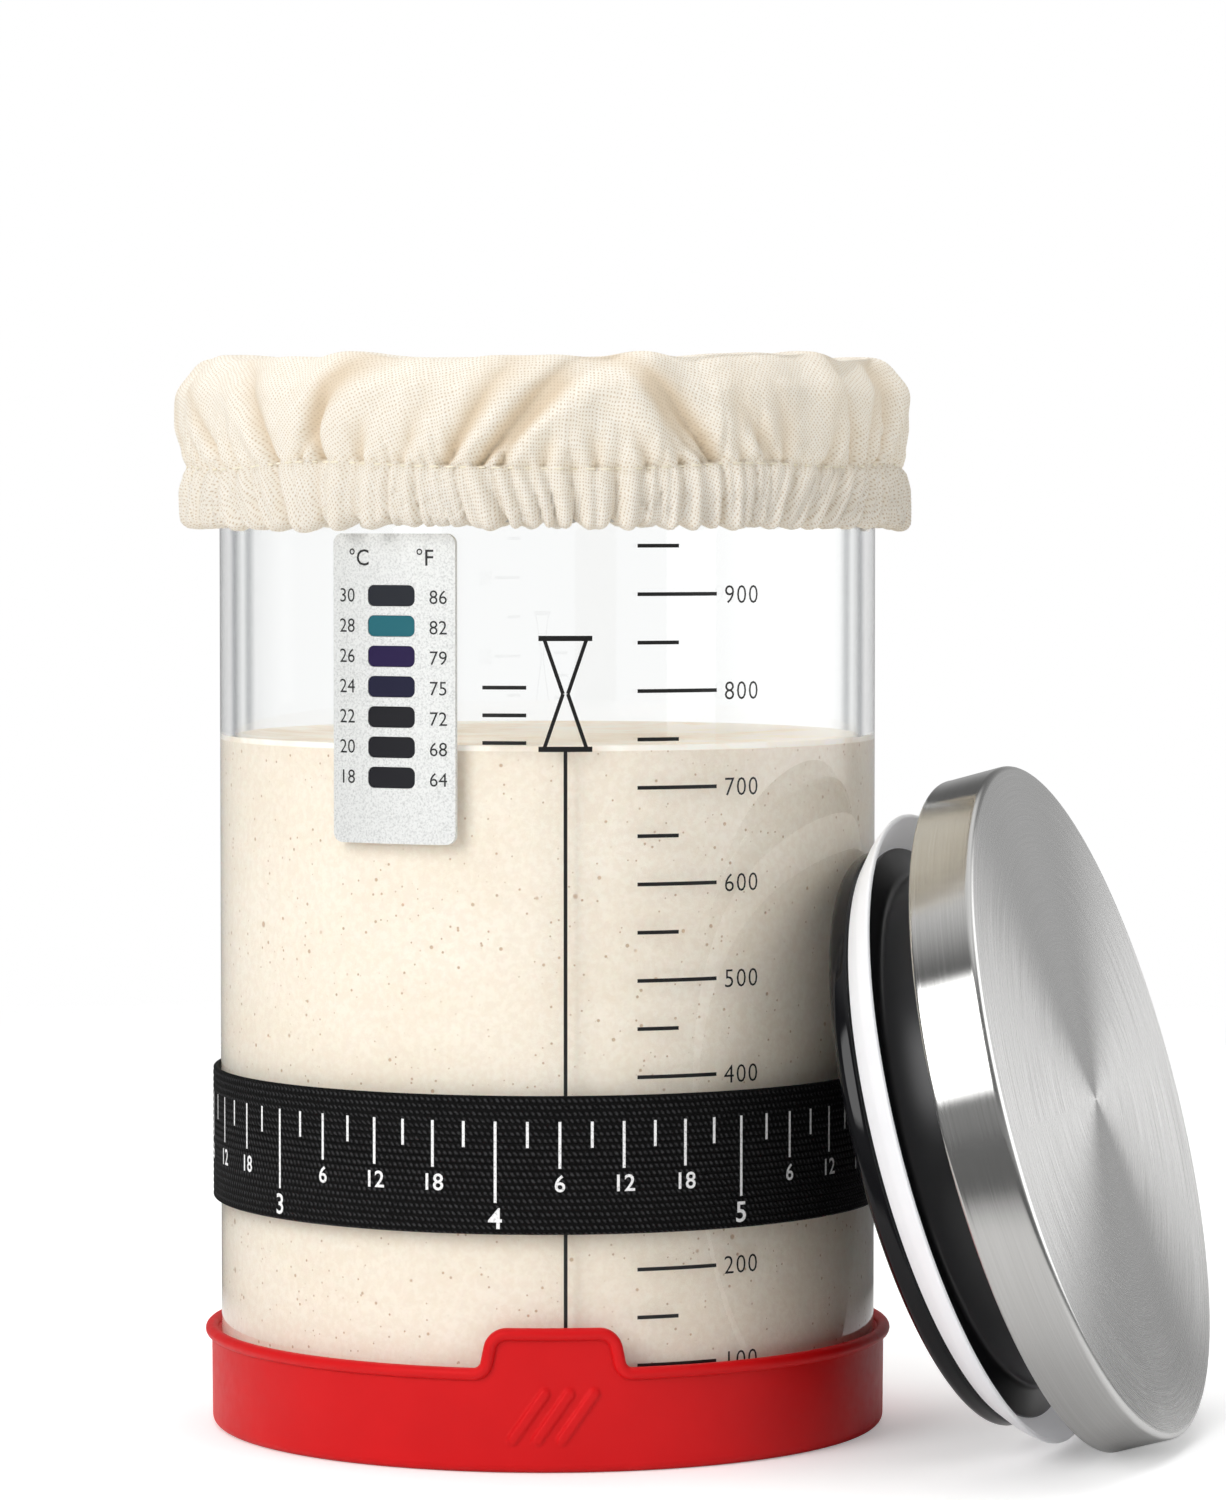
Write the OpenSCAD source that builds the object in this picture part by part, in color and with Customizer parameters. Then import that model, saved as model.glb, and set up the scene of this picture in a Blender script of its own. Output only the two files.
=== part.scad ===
// Sourdough starter jar. A straight glass jar stands in a silicone boot. It carries a strip
// thermometer, a woven elastic band with a time scale that slides on the glass, and a gathered
// linen cover over the mouth. Its steel lid leans on the glass, with its plug towards the jar.
// Millimetres, +Z up. The origin lies on the jar's axis, on the surface that the jar stands on.
// The front of the jar faces -Y. Angles round the jar start at the front and grow towards +X.

/* [Glass jar] */
// Outer diameter of the glass
jar_d = 100; // [80:1:120]
// Height of the glass, from its underside to its rim
jar_h = 159; // [145:1:200]
// Thickness of the glass wall
glass_wall = 2.2; // [1.6:0.1:3.5]
// Thickness of the glass bottom
glass_base = 3; // [2:0.5:6]
// Outer radius of the glass's bottom edge
bottom_round = 5; // [4:0.5:8]

/* [Starter] */
// Depth of the starter in the jar
starter_h = 101.4; // [40:0.2:120]

/* [Base boot] */
// Thickness of the boot under the glass
boot_floor = 1.6; // [1:0.1:4]
// Thickness of the boot's wall
boot_wall = 1.2; // [0.8:0.1:3]
// Height of the boot's wall with its bead
boot_h = 15.4; // [12:0.2:25]
// How far the lip round the boot's top edge stands out from its wall
lip_out = 0.95; // [0.6:0.05:1.4]
// Height of the lip round the boot's top edge
lip_h = 1.8; // [1:0.1:3]
// Outer radius of the boot's bottom edge
boot_round = 1.8; // [1:0.1:3]
// Height of the finger tab above the boot's wall
tab_rise = 5.9; // [3:0.1:10]
// Width of the tab at its top
tab_w = 19.4; // [10:0.2:24]
// Radius of the hollow shoulders beside the tab
tab_shoulder = 2; // [1.5:0.5:5]
// Radius of the tab's top corners
tab_corner = 3.3; // [1:0.1:4]
// How far the tab stands out from the boot's wall
tab_out = 0.4; // [0.2:0.05:0.8]
// Angle of the tab round the jar
tab_az = 1.5; // [-20:0.5:20]
// Number of slanted grip ribs under the tab
rib_n = 3; // [1:1:5]
// Length of a grip rib
rib_l = 10; // [6:0.5:14]
// Width of a grip rib
rib_w = 1.8; // [1:0.1:2.4]
// Height of a grip rib above the boot's wall
rib_t = 0.6; // [0.3:0.1:1]

/* [Thermometer] */
// Width of the thermometer strip
strip_w = 20; // [14:1:26]
// Length of the thermometer strip
strip_l = 45; // [35:1:55]
// Thickness of the strip's printed film
strip_t = 0.5; // [0.3:0.05:1]
// Thickness of the adhesive under the film
glue_t = 0.1; // [0.05:0.05:0.3]
// Radius of the strip's corners
strip_corner = 1.5; // [1:0.5:4]
// Distance from the glass's rim down to the top of the strip
strip_drop = 24.5; // [24:0.5:40]
// Angle of the middle of the strip round the jar
strip_az = -26; // [-40:0.5:-16]
// Number of temperature cells
cell_n = 7; // [5:1:8]
// Width of a temperature cell
cell_w = 7.6; // [5:0.1:10]
// Height of a temperature cell
cell_h = 3; // [2:0.1:3.6]
// Spacing of the temperature cells
cell_pitch = 4.4; // [4:0.1:5]
// Distance from the top of the strip to the middle of the first cell
cell_drop = 9; // [6:0.1:12]

/* [Time band] */
// Width of the woven band
band_w = 20.4; // [12:0.2:28]
// Thickness of the woven band
band_t = 1; // [0.6:0.1:2]
// Height of the band's lower edge above the table
band_z = 35.1; // [30:0.1:60]
// Length of the sewn overlap at the back
overlap_l = 12; // [8:1:18]
// Number of stitches in each row across the overlap
band_stitches = 8; // [4:1:12]

/* [Cloth cover] */
// Distance from the glass's rim down to the cover's lower edge
cover_drop = 23.6; // [20:0.1:24]
// Thickness of the cloth
cloth_t = 0.7; // [0.5:0.1:1]
// Height of the hem below the stitch line
hem_h = 9; // [8:0.1:11]
// How far the middle of the puffed cloth stands out from the glass
cover_puff = 6; // [5:0.1:8]
// How far the stitch line stands out from the glass
cover_waist = 3.7; // [3.4:0.1:5]
// How far the hem stands out from the glass
cover_hem = 4.1; // [3.8:0.1:5]
// Depth of the main folds, to each side of their middle
fold_depth = 1.3; // [0.4:0.1:1.4]
// Number of main folds round the jar
fold_n = 13; // [8:1:13]
// Thickness of the elastic in the hem
elastic_t = 0.8; // [0.4:0.1:0.9]
// Width of the elastic in the hem
elastic_w = 6; // [3:0.5:6.5]
// Number of stitches round the hem
hem_stitches = 72; // [48:4:96]

/* [Lid] */
// Height of the lid, from the base disc to the steel face
lid_h = 25.4; // [23:0.1:30]
// Depth of the steel skirt
skirt_h = 9.8; // [7:0.1:11]
// Thickness of the steel
cap_wall = 0.8; // [0.5:0.1:1.2]
// Gap between the steel skirt and the glass when the lid is on
cap_gap = 0.55; // [0.3:0.05:1.5]
// Radius of the edge between the steel face and skirt
cap_edge = 1.5; // [1.2:0.1:2.5]
// Radius of the bead along the skirt's lower edge
cap_bead = 0.55; // [0.4:0.05:0.8]
// Clearance between the base disc and the inside of the glass, when the lid is on
disc_gap = 3.7; // [2:0.1:6]
// Thickness of the base disc
disc_t = 3.4; // [3.1:0.1:4]
// Radius of the base disc's edge
disc_edge = 1.5; // [1:0.1:1.5]
// How far the plug's flange above the seal stands back from the base disc's edge
flange_in = 0.5; // [0.5:0.1:2]
// Thickness of the plug's flange at its edge
flange_t = 0.7; // [0.5:0.1:1.5]
// How far the flange slopes up to the plug's neck
flange_rise = 1.3; // [0.5:0.1:2]
// How far the plug's neck stands back from the base disc's edge
neck_in = 5.5; // [4:0.1:8]
// Thickness of the plug's neck wall
neck_wall = 2.4; // [1.6:0.1:3]
// Thickness of the plug's plate under the steel face
plate_t = 3; // [2:0.1:4]
// Length of the base disc's spigot in the plug
spigot_l = 4; // [2:0.5:8]
// How much wider the seal's lip is than the inside of the glass, before it is pressed in
seal_press = 0.6; // [0.3:0.1:1.5]
// Thickness of the seal's foot, between disc and flange
seal_t = 1; // [0.8:0.1:1.6]
// Thickness of the seal's flared skirt at its lip
seal_wall = 0.8; // [0.5:0.1:1.2]
// How far the seal's lip rises above the base disc
seal_rise = 4.8; // [3:0.1:6]

/* [Leaning lid] */
// Angle of the lid's axis above the table
lid_lean = 15.4; // [10:0.1:22]
// Turn of the lid round the jar, from +X towards the front
lid_turn = 18.3; // [0:0.1:40]

/* [Clearances] */
// Gap between the glass and what slides or turns on it
fit_gap = 0.3; // [0.2:0.05:0.6]
// Gap between pieces that are fixed to each other
joint_gap = 0.05; // [0.02:0.01:0.1]

/* [Hidden] */
$fn = 96;

jar_r = jar_d/2;
inner_r = jar_r - glass_wall;
rim_z = boot_floor + jar_h;
inner_z = boot_floor + glass_base;
inner_round = bottom_round - glass_wall;
far = 2*jar_d;

boot_r = jar_r + fit_gap + boot_wall;
tab_z = boot_h + tab_rise;
rib_pitch = 2*rib_w;
rib_slant = 35;

strip_z = rim_z - strip_drop - strip_l;
film_r = jar_r + glue_t + joint_gap;
strip_r = film_r + strip_t;
cell_inset = 0.1;

band_r = jar_r + fit_gap + band_t;
thread_d = 0.4;

hem_z = rim_z - cover_drop;
stitch_z = hem_z + hem_h;
lining_r = jar_r + fit_gap + cloth_t;
elastic_r = lining_r + joint_gap;
cloth_steps = 5*fold_n;
swell_n = 3;

skirt_t = lid_h - skirt_h;
cap_r = jar_r + cap_gap + cap_wall;
disc_r = inner_r - disc_gap;
seal_r = inner_r + seal_press;
flange_r = disc_r - flange_in;
neck_r = disc_r - neck_in;
seal_z = disc_t + joint_gap;
lip_z = disc_t + seal_rise;
flange_z = seal_z + seal_t + joint_gap;
neck_z = flange_z + flange_t + flange_rise;
plate_z = lid_h - cap_wall - joint_gap - plate_t;
bore_r = neck_r - neck_wall;
spigot_r = bore_r - joint_gap;
boss_r = neck_r + neck_wall;
lid_reach = jar_r + fit_gap + disc_edge + (disc_r - disc_edge)*sin(lid_lean)
            - disc_edge*cos(lid_lean);
lid_rise = (cap_r - cap_bead)*cos(lid_lean) - (skirt_t + cap_bead)*sin(lid_lean) + cap_bead;

// A rectangle with round corners, from corner a to corner b
module rounded(a, b, r) {
    translate([a[0] + r, a[1]]) square([b[0] - a[0] - 2*r, b[1] - a[1]]);
    translate([a[0], a[1] + r]) square([b[0] - a[0], b[1] - a[1] - 2*r]);
    for (x = [a[0] + r, b[0] - r])
        for (y = [a[1] + r, b[1] - r])
            translate([x, y]) circle(r = r);
}

// The half section of a round cup's filled shape, from the axis out to r and from z0 up to z1,
// with its lower edge rounded
module cup_section(r, z0, z1, edge, lift = 0) {
    translate([0, z0]) square([r - edge, z1 - z0]);
    translate([0, z0 + edge + lift]) square([r, z1 - z0 - edge - lift]);
    translate([r - edge, z0 + edge + lift]) circle(r = edge);
}

// A thin sheet between two radii, cut to an outline that is seen from the front, then turned
// round the jar
module wrapped(r0, r1, az) {
    rotate([0, 0, az])
        intersection() {
            difference() {
                cylinder(r = r1, h = rim_z);
                translate([0, 0, -1]) cylinder(r = r0, h = rim_z + 2);
            }
            rotate([90, 0, 0]) linear_extrude(far) children();
        }
}

// Glass jar

module glass_jar() color("lightcyan")
    rotate_extrude() {
        difference() {
            cup_section(jar_r, boot_floor, rim_z - glass_wall/2, bottom_round);
            cup_section(inner_r, inner_z, rim_z + 1, inner_round);
        }
        translate([jar_r - glass_wall/2, rim_z - glass_wall/2]) circle(r = glass_wall/2);
    }

module starter() color("antiquewhite")
    rotate_extrude()
        cup_section(inner_r - joint_gap, inner_z + joint_gap, inner_z + starter_h, inner_round);

// Thermometer

module cell_outlines(grow) {
    for (i = [0:cell_n - 1])
        translate([0, strip_z + strip_l - cell_drop - i*cell_pitch])
            rounded([-cell_w/2 - grow, -cell_h/2 - grow], [cell_w/2 + grow, cell_h/2 + grow],
                    cell_h/3);
}

module strip_outline()
    rounded([-strip_w/2, strip_z], [strip_w/2, strip_z + strip_l], strip_corner);

module thermometer_adhesive() color("whitesmoke")
    wrapped(jar_r, jar_r + glue_t, strip_az) strip_outline();

module thermometer_cells() color("midnightblue")
    wrapped(film_r, strip_r - cell_inset, strip_az) cell_outlines(0);

module thermometer_strip() color("silver")
    wrapped(film_r, strip_r, strip_az)
        difference() {
            strip_outline();
            cell_outlines(joint_gap);
        }

// Base boot

module tab_outline() {
    translate([-tab_w/2, boot_h/2]) square([tab_w, tab_z - tab_corner - boot_h/2]);
    rounded([-tab_w/2, boot_h/2], [tab_w/2, tab_z], tab_corner);
    difference() {
        translate([-tab_w/2 - tab_shoulder, boot_h/2])
            square([tab_w + 2*tab_shoulder, boot_h/2 + tab_shoulder]);
        for (side = [-1, 1])
            translate([side*(tab_w/2 + tab_shoulder), boot_h + tab_shoulder])
                circle(r = tab_shoulder);
    }
}

module rib_outlines() {
    for (i = [0:rib_n - 1])
        translate([(i - (rib_n - 1)/2)*rib_pitch, boot_h/2])
            rotate(-rib_slant) rounded([-rib_w/2, -rib_l/2], [rib_w/2, rib_l/2], rib_w/2 - joint_gap);
}

module base_boot() color("firebrick") {
    difference() {
        rotate_extrude() {
            cup_section(boot_r, 0, boot_h, boot_round);
            translate([0, boot_h - lip_h]) square([boot_r + lip_out, lip_h]);
        }
        rotate_extrude() cup_section(jar_r + fit_gap, boot_floor, rim_z, bottom_round + fit_gap);
    }
    wrapped(boot_r - boot_wall/2, boot_r + tab_out, tab_az) tab_outline();
    wrapped(boot_r - boot_wall/2, boot_r + rib_t, tab_az) rib_outlines();
}

// Time band

module time_band() color("black") {
    rotate_extrude()
        rounded([jar_r + fit_gap, band_z], [band_r, band_z + band_w], band_t/4);
    wrapped(band_r - joint_gap, band_r + band_t, 180)
        rounded([-overlap_l/2, band_z + band_t/4], [overlap_l/2, band_z + band_w - band_t/4], band_t/2);
}

module band_stitching() color("dimgray")
    wrapped(band_r + band_t + joint_gap, band_r + band_t + joint_gap + thread_d, 180)
        for (side = [-1, 1])
            for (i = [0:band_stitches - 1])
                translate([side*overlap_l/4, band_z + band_w*(i + 1)/(band_stitches + 1)])
                    square([overlap_l/4, thread_d], center = true);

// Cloth cover

// The folds as a wave round the jar, from -1 to 1: a main wave and a slower swell on it
function folds(a) = 0.7*sin(fold_n*a + 20) + 0.3*sin(swell_n*a + 200);

// The half section of the sheet, from the top over the puff and the hem, back up inside the hem
// as its lining, and under the sheet to the middle. Each row is the distance from the jar's
// axis, the height and the share of the fold depth there.
top_z = rim_z + fit_gap + cloth_t;
puff_z = (rim_z + stitch_z)/2;
cloth_rows = [
    [inner_r, top_z + cloth_t/2, 0.3],
    [jar_r + cover_puff/2, rim_z, 0.5],
    [jar_r + cover_puff, puff_z + 2*cloth_t, 1],
    [jar_r + cover_puff, puff_z - 2*cloth_t, 1],
    [jar_r + cover_waist, stitch_z, 1],
    [jar_r + cover_hem, stitch_z - hem_h/3, 1],
    [jar_r + cover_hem, hem_z + 2*cloth_t, 1],
    [jar_r + cover_hem - cloth_t, hem_z, 0.8],
    [jar_r + fit_gap, hem_z, 0],
    [jar_r + fit_gap, stitch_z, 0],
    [lining_r, stitch_z, 0],
    [lining_r, hem_z + cloth_t, 0],
    [jar_r + cover_hem - 1.2*cloth_t, hem_z + cloth_t, 1],
    [jar_r + cover_hem - cloth_t, stitch_z - hem_h/3, 1],
    [jar_r + cover_waist - cloth_t, stitch_z, 1],
    [jar_r + cover_puff - cloth_t, puff_z - 2*cloth_t, 1],
    [jar_r + cover_puff - cloth_t, puff_z + cloth_t, 1],
    [jar_r + cover_puff/2 - cloth_t, rim_z - cloth_t, 0.5],
    [jar_r, top_z - cloth_t, 0],
    [inner_r, top_z - cloth_t, 0],
];
stitch_row = 4;

function cloth_r(row, a) = row[0] + row[2]*fold_depth*folds(a);

module cover_cloth() color("cornsilk") {
    rows = len(cloth_rows);
    points = concat(
        [for (row = cloth_rows)
            for (i = [0:cloth_steps - 1])
                let (a = i*360/cloth_steps, r = cloth_r(row, a))
                    [r*sin(a), -r*cos(a), row[1]]],
        [[0, 0, top_z], [0, 0, top_z - cloth_t]]);
    faces = concat(
        [for (k = [0:rows - 2])
            for (i = [0:cloth_steps - 1])
                let (j = (i + 1)%cloth_steps, p = k*cloth_steps, q = p + cloth_steps)
                    each [[p + i, q + i, q + j], [p + i, q + j, p + j]]],
        [for (i = [0:cloth_steps - 1])
            let (j = (i + 1)%cloth_steps, last = (rows - 1)*cloth_steps)
                each [[i, j, rows*cloth_steps], [last + j, last + i, rows*cloth_steps + 1]]]);
    polyhedron(points, faces);
}

module cover_elastic() color("white")
    rotate_extrude()
        translate([elastic_r, hem_z + cloth_t + joint_gap]) square([elastic_t, elastic_w]);

module cover_stitching() color("ivory")
    for (i = [0:hem_stitches - 1]) {
        a = i*360/hem_stitches;
        r = cloth_r(cloth_rows[stitch_row], a);
        rise = cloth_r(cloth_rows[stitch_row], a + 1) - cloth_r(cloth_rows[stitch_row], a - 1);
        slope = atan(rise/(2*r*sin(1)));
        rotate([0, 0, a]) translate([0, -r, stitch_z]) rotate([0, 0, -slope])
            cube([r*sin(180/hem_stitches), thread_d, thread_d], center = true);
    }

// Lid. Its pieces are drawn with the base disc's outer face on the plane z = 0 and then leaned
// on the glass: the disc's edge lies by the glass and the skirt's bead stands on the table.

module leaned()
    rotate([0, 0, -lid_turn]) translate([lid_reach, 0, lid_rise]) rotate([0, 90 - lid_lean, 0])
        children();

module lid_cap() color("lightgray")
    leaned() rotate_extrude() {
        difference() {
            union() {
                translate([0, skirt_t + cap_bead]) square([cap_r - cap_edge, skirt_h - cap_bead]);
                translate([0, skirt_t + cap_bead])
                    square([cap_r, skirt_h - cap_bead - cap_edge]);
                translate([cap_r - cap_edge, lid_h - cap_edge]) circle(r = cap_edge);
            }
            square([cap_r - cap_edge, lid_h - cap_wall]);
            square([cap_r - cap_wall, lid_h - cap_edge]);
            translate([cap_r - cap_edge, lid_h - cap_edge]) circle(r = cap_edge - cap_wall);
        }
        translate([cap_r - cap_bead, skirt_t + cap_bead]) circle(r = cap_bead);
    }

module lid_plug() color("black")
    leaned() rotate_extrude()
        difference() {
            union() {
                translate([0, seal_z]) square([boss_r, flange_z + flange_t/2 - seal_z]);
                polygon([
                    [neck_r/2, flange_z],
                    [flange_r, flange_z],
                    [flange_r, flange_z + flange_t],
                    [neck_r, neck_z],
                    [neck_r/2, neck_z],
                ]);
                translate([0, flange_z]) square([neck_r, plate_z - flange_z + 1]);
                translate([0, plate_z]) square([cap_r - cap_edge - joint_gap, plate_t]);
            }
            square([bore_r, plate_z]);
        }

module lid_seal() color("gainsboro")
    leaned() rotate_extrude()
        polygon([
            [boss_r + joint_gap, seal_z],
            [disc_r, seal_z],
            [seal_r, lip_z - seal_wall/2],
            [seal_r - seal_wall/4, lip_z],
            [seal_r - seal_wall, lip_z],
            [disc_r - seal_wall/2, seal_z + seal_t],
            [boss_r + joint_gap, seal_z + seal_t],
        ]);

module lid_disc() color("black")
    leaned() rotate_extrude() {
        square([disc_r - disc_edge, disc_t]);
        rounded([disc_r/2, 0], [disc_r, disc_t], disc_edge);
        translate([spigot_r - neck_wall, 0]) square([neck_wall, disc_t + spigot_l]);
    }

glass_jar();
starter();
thermometer_adhesive();
thermometer_cells();
thermometer_strip();
base_boot();
time_band();
band_stitching();
cover_cloth();
cover_elastic();
cover_stitching();
lid_cap();
lid_plug();
lid_seal();
lid_disc();
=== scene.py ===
import math
import bmesh
import bpy
import numpy as np
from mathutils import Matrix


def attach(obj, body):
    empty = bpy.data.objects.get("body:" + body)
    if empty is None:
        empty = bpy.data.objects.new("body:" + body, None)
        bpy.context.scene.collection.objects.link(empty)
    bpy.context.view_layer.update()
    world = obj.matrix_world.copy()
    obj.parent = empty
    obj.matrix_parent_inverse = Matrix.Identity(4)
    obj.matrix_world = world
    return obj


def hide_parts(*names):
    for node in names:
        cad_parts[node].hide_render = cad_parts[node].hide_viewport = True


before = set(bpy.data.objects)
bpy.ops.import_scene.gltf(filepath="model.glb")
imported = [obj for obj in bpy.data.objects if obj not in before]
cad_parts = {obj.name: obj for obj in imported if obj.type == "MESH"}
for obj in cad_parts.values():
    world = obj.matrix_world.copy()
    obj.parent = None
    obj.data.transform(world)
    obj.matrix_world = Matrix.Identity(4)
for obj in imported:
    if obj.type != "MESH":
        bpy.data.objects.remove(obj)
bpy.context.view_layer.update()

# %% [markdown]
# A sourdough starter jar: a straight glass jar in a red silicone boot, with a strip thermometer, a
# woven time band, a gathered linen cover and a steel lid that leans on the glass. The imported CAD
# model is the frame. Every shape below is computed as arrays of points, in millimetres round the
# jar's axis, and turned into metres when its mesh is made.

MM = 0.001
print("frame:", len(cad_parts), "CAD nodes")

# %% [markdown]
# The sizes are those of the CAD model. Angles round the jar start at the front, which faces -Y,
# and grow towards +X.

# %% Sizes of the jar and of what it carries, in millimetres
JAR_R = 50.0
WALL = 2.2
INNER_R = JAR_R - WALL
BOOT_FLOOR = 1.6
JAR_H = 159.0
RIM_Z = BOOT_FLOOR + JAR_H
GLASS_BASE = 3.0
BOTTOM_ROUND = 5.0
INNER_Z = BOOT_FLOOR + GLASS_BASE
STARTER_Z = INNER_Z + 100.9

# %% [markdown]
# Two helpers carry nearly every shape. One turns a grid of points into a mesh, with its own UV map
# given in millimetres, so that weave and brushing keep their real scale. The other rounds the
# corners of a profile with arcs, because no real edge is sharp.

# %% Mesh helpers
def add_object(name, vertices, faces, uv=None, smooth=True, tint=None):
    """A mesh object at the origin from points in millimetres. uv is one pair for each face corner,
    and tint one value for each point, which a material can read."""
    mesh = bpy.data.meshes.new(name)
    mesh.from_pydata((np.asarray(vertices) * MM).tolist(), [], [list(f) for f in faces])
    if uv is not None:
        layer = mesh.uv_layers.new(name="UVMap")
        layer.data.foreach_set("uv", np.asarray(uv, dtype=np.float32).ravel())
    if tint is not None:
        values = mesh.attributes.new("tint", "FLOAT", "POINT")
        values.data.foreach_set("value", np.asarray(tint, dtype=np.float32).ravel())
    work = bmesh.new()
    work.from_mesh(mesh)
    bmesh.ops.remove_doubles(work, verts=work.verts, dist=1e-7)
    work.to_mesh(mesh)
    work.free()
    mesh.polygons.foreach_set("use_smooth", np.full(len(mesh.polygons), smooth))
    obj = bpy.data.objects.new(name, mesh)
    bpy.context.collection.objects.link(obj)
    return obj


def grid_faces(rows, columns, wrap_rows=False, wrap_columns=False):
    """The quads of a grid, and for each corner its row and column counted past the seam."""
    r = np.arange(rows if wrap_rows else rows - 1)
    c = np.arange(columns if wrap_columns else columns - 1)
    r, c = (x.ravel() for x in np.meshgrid(r, c, indexing="ij"))
    corner_r = np.stack([r, r, r + 1, r + 1], 1)
    corner_c = np.stack([c, c + 1, c + 1, c], 1)
    return (corner_r % rows) * columns + corner_c % columns, corner_r, corner_c


def surface(name, points, u, v, wrap_rows=False, wrap_columns=False, flip=False, tint=None):
    """A grid of points, rows by columns, as a mesh. u runs along the columns and v along the rows;
    each has one value more than the grid where it wraps, for the far side of the seam."""
    rows, columns = points.shape[:2]
    quads, cr, cc = grid_faces(rows, columns, wrap_rows, wrap_columns)
    uv = np.stack([np.asarray(u)[cc], np.asarray(v)[cr]], -1)
    if flip:
        quads, uv = quads[:, ::-1], uv[:, ::-1]
    return add_object(name, points.reshape(-1, 3), quads, uv.reshape(-1, 2), tint=tint)


def steady(path, closed, near=0.25):
    """Adds a point close to both ends of every long edge, so that smooth shading doesn't bend the
    light along the straight walls between two arcs."""
    gap = np.diff(path, axis=0, append=path[:1] if closed else path[-1:])
    length = np.linalg.norm(gap, axis=1)
    long_ones = length > 4 * near
    step = gap * (near / np.maximum(length, near))[:, None]
    points = np.stack([path, path + step, path + gap - step], 1)
    return points[np.stack([length >= 0, long_ones, long_ones], 1)]


def rounded_path(corners, closed=False, steps=8):
    """A polyline whose corners are arcs. Each corner is (x, y, radius of its arc)."""
    corners = [np.array(c, float) for c in corners]
    out = []
    count = len(corners)
    for i, (x, y, radius) in enumerate(corners):
        here = np.array([x, y])
        if radius == 0 or (not closed and i in (0, count - 1)):
            out.append(here[None])
            continue
        back = corners[i - 1][:2] - here
        ahead = corners[(i + 1) % count][:2] - here
        back /= np.linalg.norm(back)
        ahead /= np.linalg.norm(ahead)
        half = math.acos(np.clip(back @ ahead, -1, 1)) / 2
        reach = radius / math.tan(half)
        centre = here + (back + ahead) / np.linalg.norm(back + ahead) * radius / math.sin(half)
        start, end = here + back * reach - centre, here + ahead * reach - centre
        turn = math.atan2(start[0] * end[1] - start[1] * end[0], start @ end)
        t = np.linspace(0, turn, steps + 1)[:, None]
        side = np.array([-start[1], start[0]])
        out.append(centre + start * np.cos(t) + side * np.sin(t))
    return steady(np.concatenate(out), closed)


def circle(count):
    """Even angles all the way round, without the last one, which is the first again."""
    return np.linspace(0, 2 * math.pi, count, endpoint=False)


def run_along(path, closed=False):
    """The distance from a path's start to each of its points, and round to the start if closed."""
    ahead = np.diff(path, axis=0, append=path[:1] if closed else path[:0])
    return np.concatenate([[0], np.cumsum(np.linalg.norm(ahead, axis=1))])


def round_jar(radius, angle, height):
    """Points at a distance from the jar's axis, an angle from the front in radians, and a height."""
    radius, angle, height = np.broadcast_arrays(radius, angle, height)
    return np.stack([radius * np.sin(angle), -radius * np.cos(angle), height], -1)


def lathe(name, profile, segments=256, closed=False, place=None):
    """A profile of (radius, height) points turned round the axis. An open one starts and ends on
    the axis or is a plain sheet; place moves the finished points."""
    points = round_jar(profile[:, None, 0], circle(segments)[None, :], profile[:, None, 1])
    if place is not None:
        points = place(points)
    u = np.linspace(0, 2 * math.pi * profile[:, 0].max(), segments + 1)
    return surface(name, points, u, run_along(profile, closed=True), wrap_rows=closed, wrap_columns=True)


# %% [markdown]
# Materials are node trees. These helpers add and link nodes in few words. An effect that more than
# one material has, such as woven elastic, is a group of nodes with named sockets.

# %% Material helpers
def new_material(name, **values):
    """A Principled material with plain values on its own sockets."""
    material = bpy.data.materials.new(name)
    material.use_nodes = True
    shader = material.node_tree.nodes["Principled BSDF"]
    for key, value in values.items():
        socket = shader.inputs[key.replace("_", " ")]
        socket.default_value = (*value, 1) if isinstance(value, tuple) and len(value) == 3 else value
    return material, material.node_tree, shader


def node(tree, kind, inputs=(), **settings):
    """A node with settings and with its inputs linked or set. inputs maps a socket to a value or an
    output socket."""
    made = tree.nodes.new(kind)
    for key, value in settings.items():
        setattr(made, key, value)
    for key, value in dict(inputs).items():
        if isinstance(value, bpy.types.NodeSocket):
            tree.links.new(value, made.inputs[key])
        else:
            made.inputs[key].default_value = value
    return made


def maths(tree, operation, a, b=0.0, c=0.0):
    return node(tree, "ShaderNodeMath", {0: a, 1: b, 2: c}, operation=operation).outputs[0]


def ramp(tree, value, stops, interpolation="LINEAR"):
    """A colour ramp: stops are (position, (r, g, b))."""
    made = node(tree, "ShaderNodeValToRGB", {0: value})
    made.color_ramp.interpolation = interpolation
    while len(made.color_ramp.elements) < len(stops):
        made.color_ramp.elements.new(0.5)
    for element, (position, colour) in zip(made.color_ramp.elements, stops):
        element.position = position
        element.color = (*colour, 1)
    return made.outputs[0]


def mix_colour(tree, amount, a, b):
    """a where amount is 0 and b where it is 1. Both may be colours or output sockets."""
    made = node(tree, "ShaderNodeMix", {0: amount}, data_type="RGBA")
    for socket, value in ((made.inputs[6], a), (made.inputs[7], b)):
        if isinstance(value, bpy.types.NodeSocket):
            tree.links.new(value, socket)
        else:
            socket.default_value = (*value, 1)
    return made.outputs[2]


def bump(tree, height, distance, strength=1.0):
    """A bump node for heights from 0 to 1 that are distance millimetres deep."""
    return node(tree, "ShaderNodeBump", {"Strength": strength, "Distance": distance * MM,
                                         "Height": height}).outputs[0]


def object_coords(tree):
    return node(tree, "ShaderNodeTexCoord").outputs["Object"]


def uv_coords(tree):
    return node(tree, "ShaderNodeTexCoord").outputs["UV"]


def split(tree, vector):
    """The outputs X, Y and Z of a vector."""
    return node(tree, "ShaderNodeSeparateXYZ", {0: vector}).outputs


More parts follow.
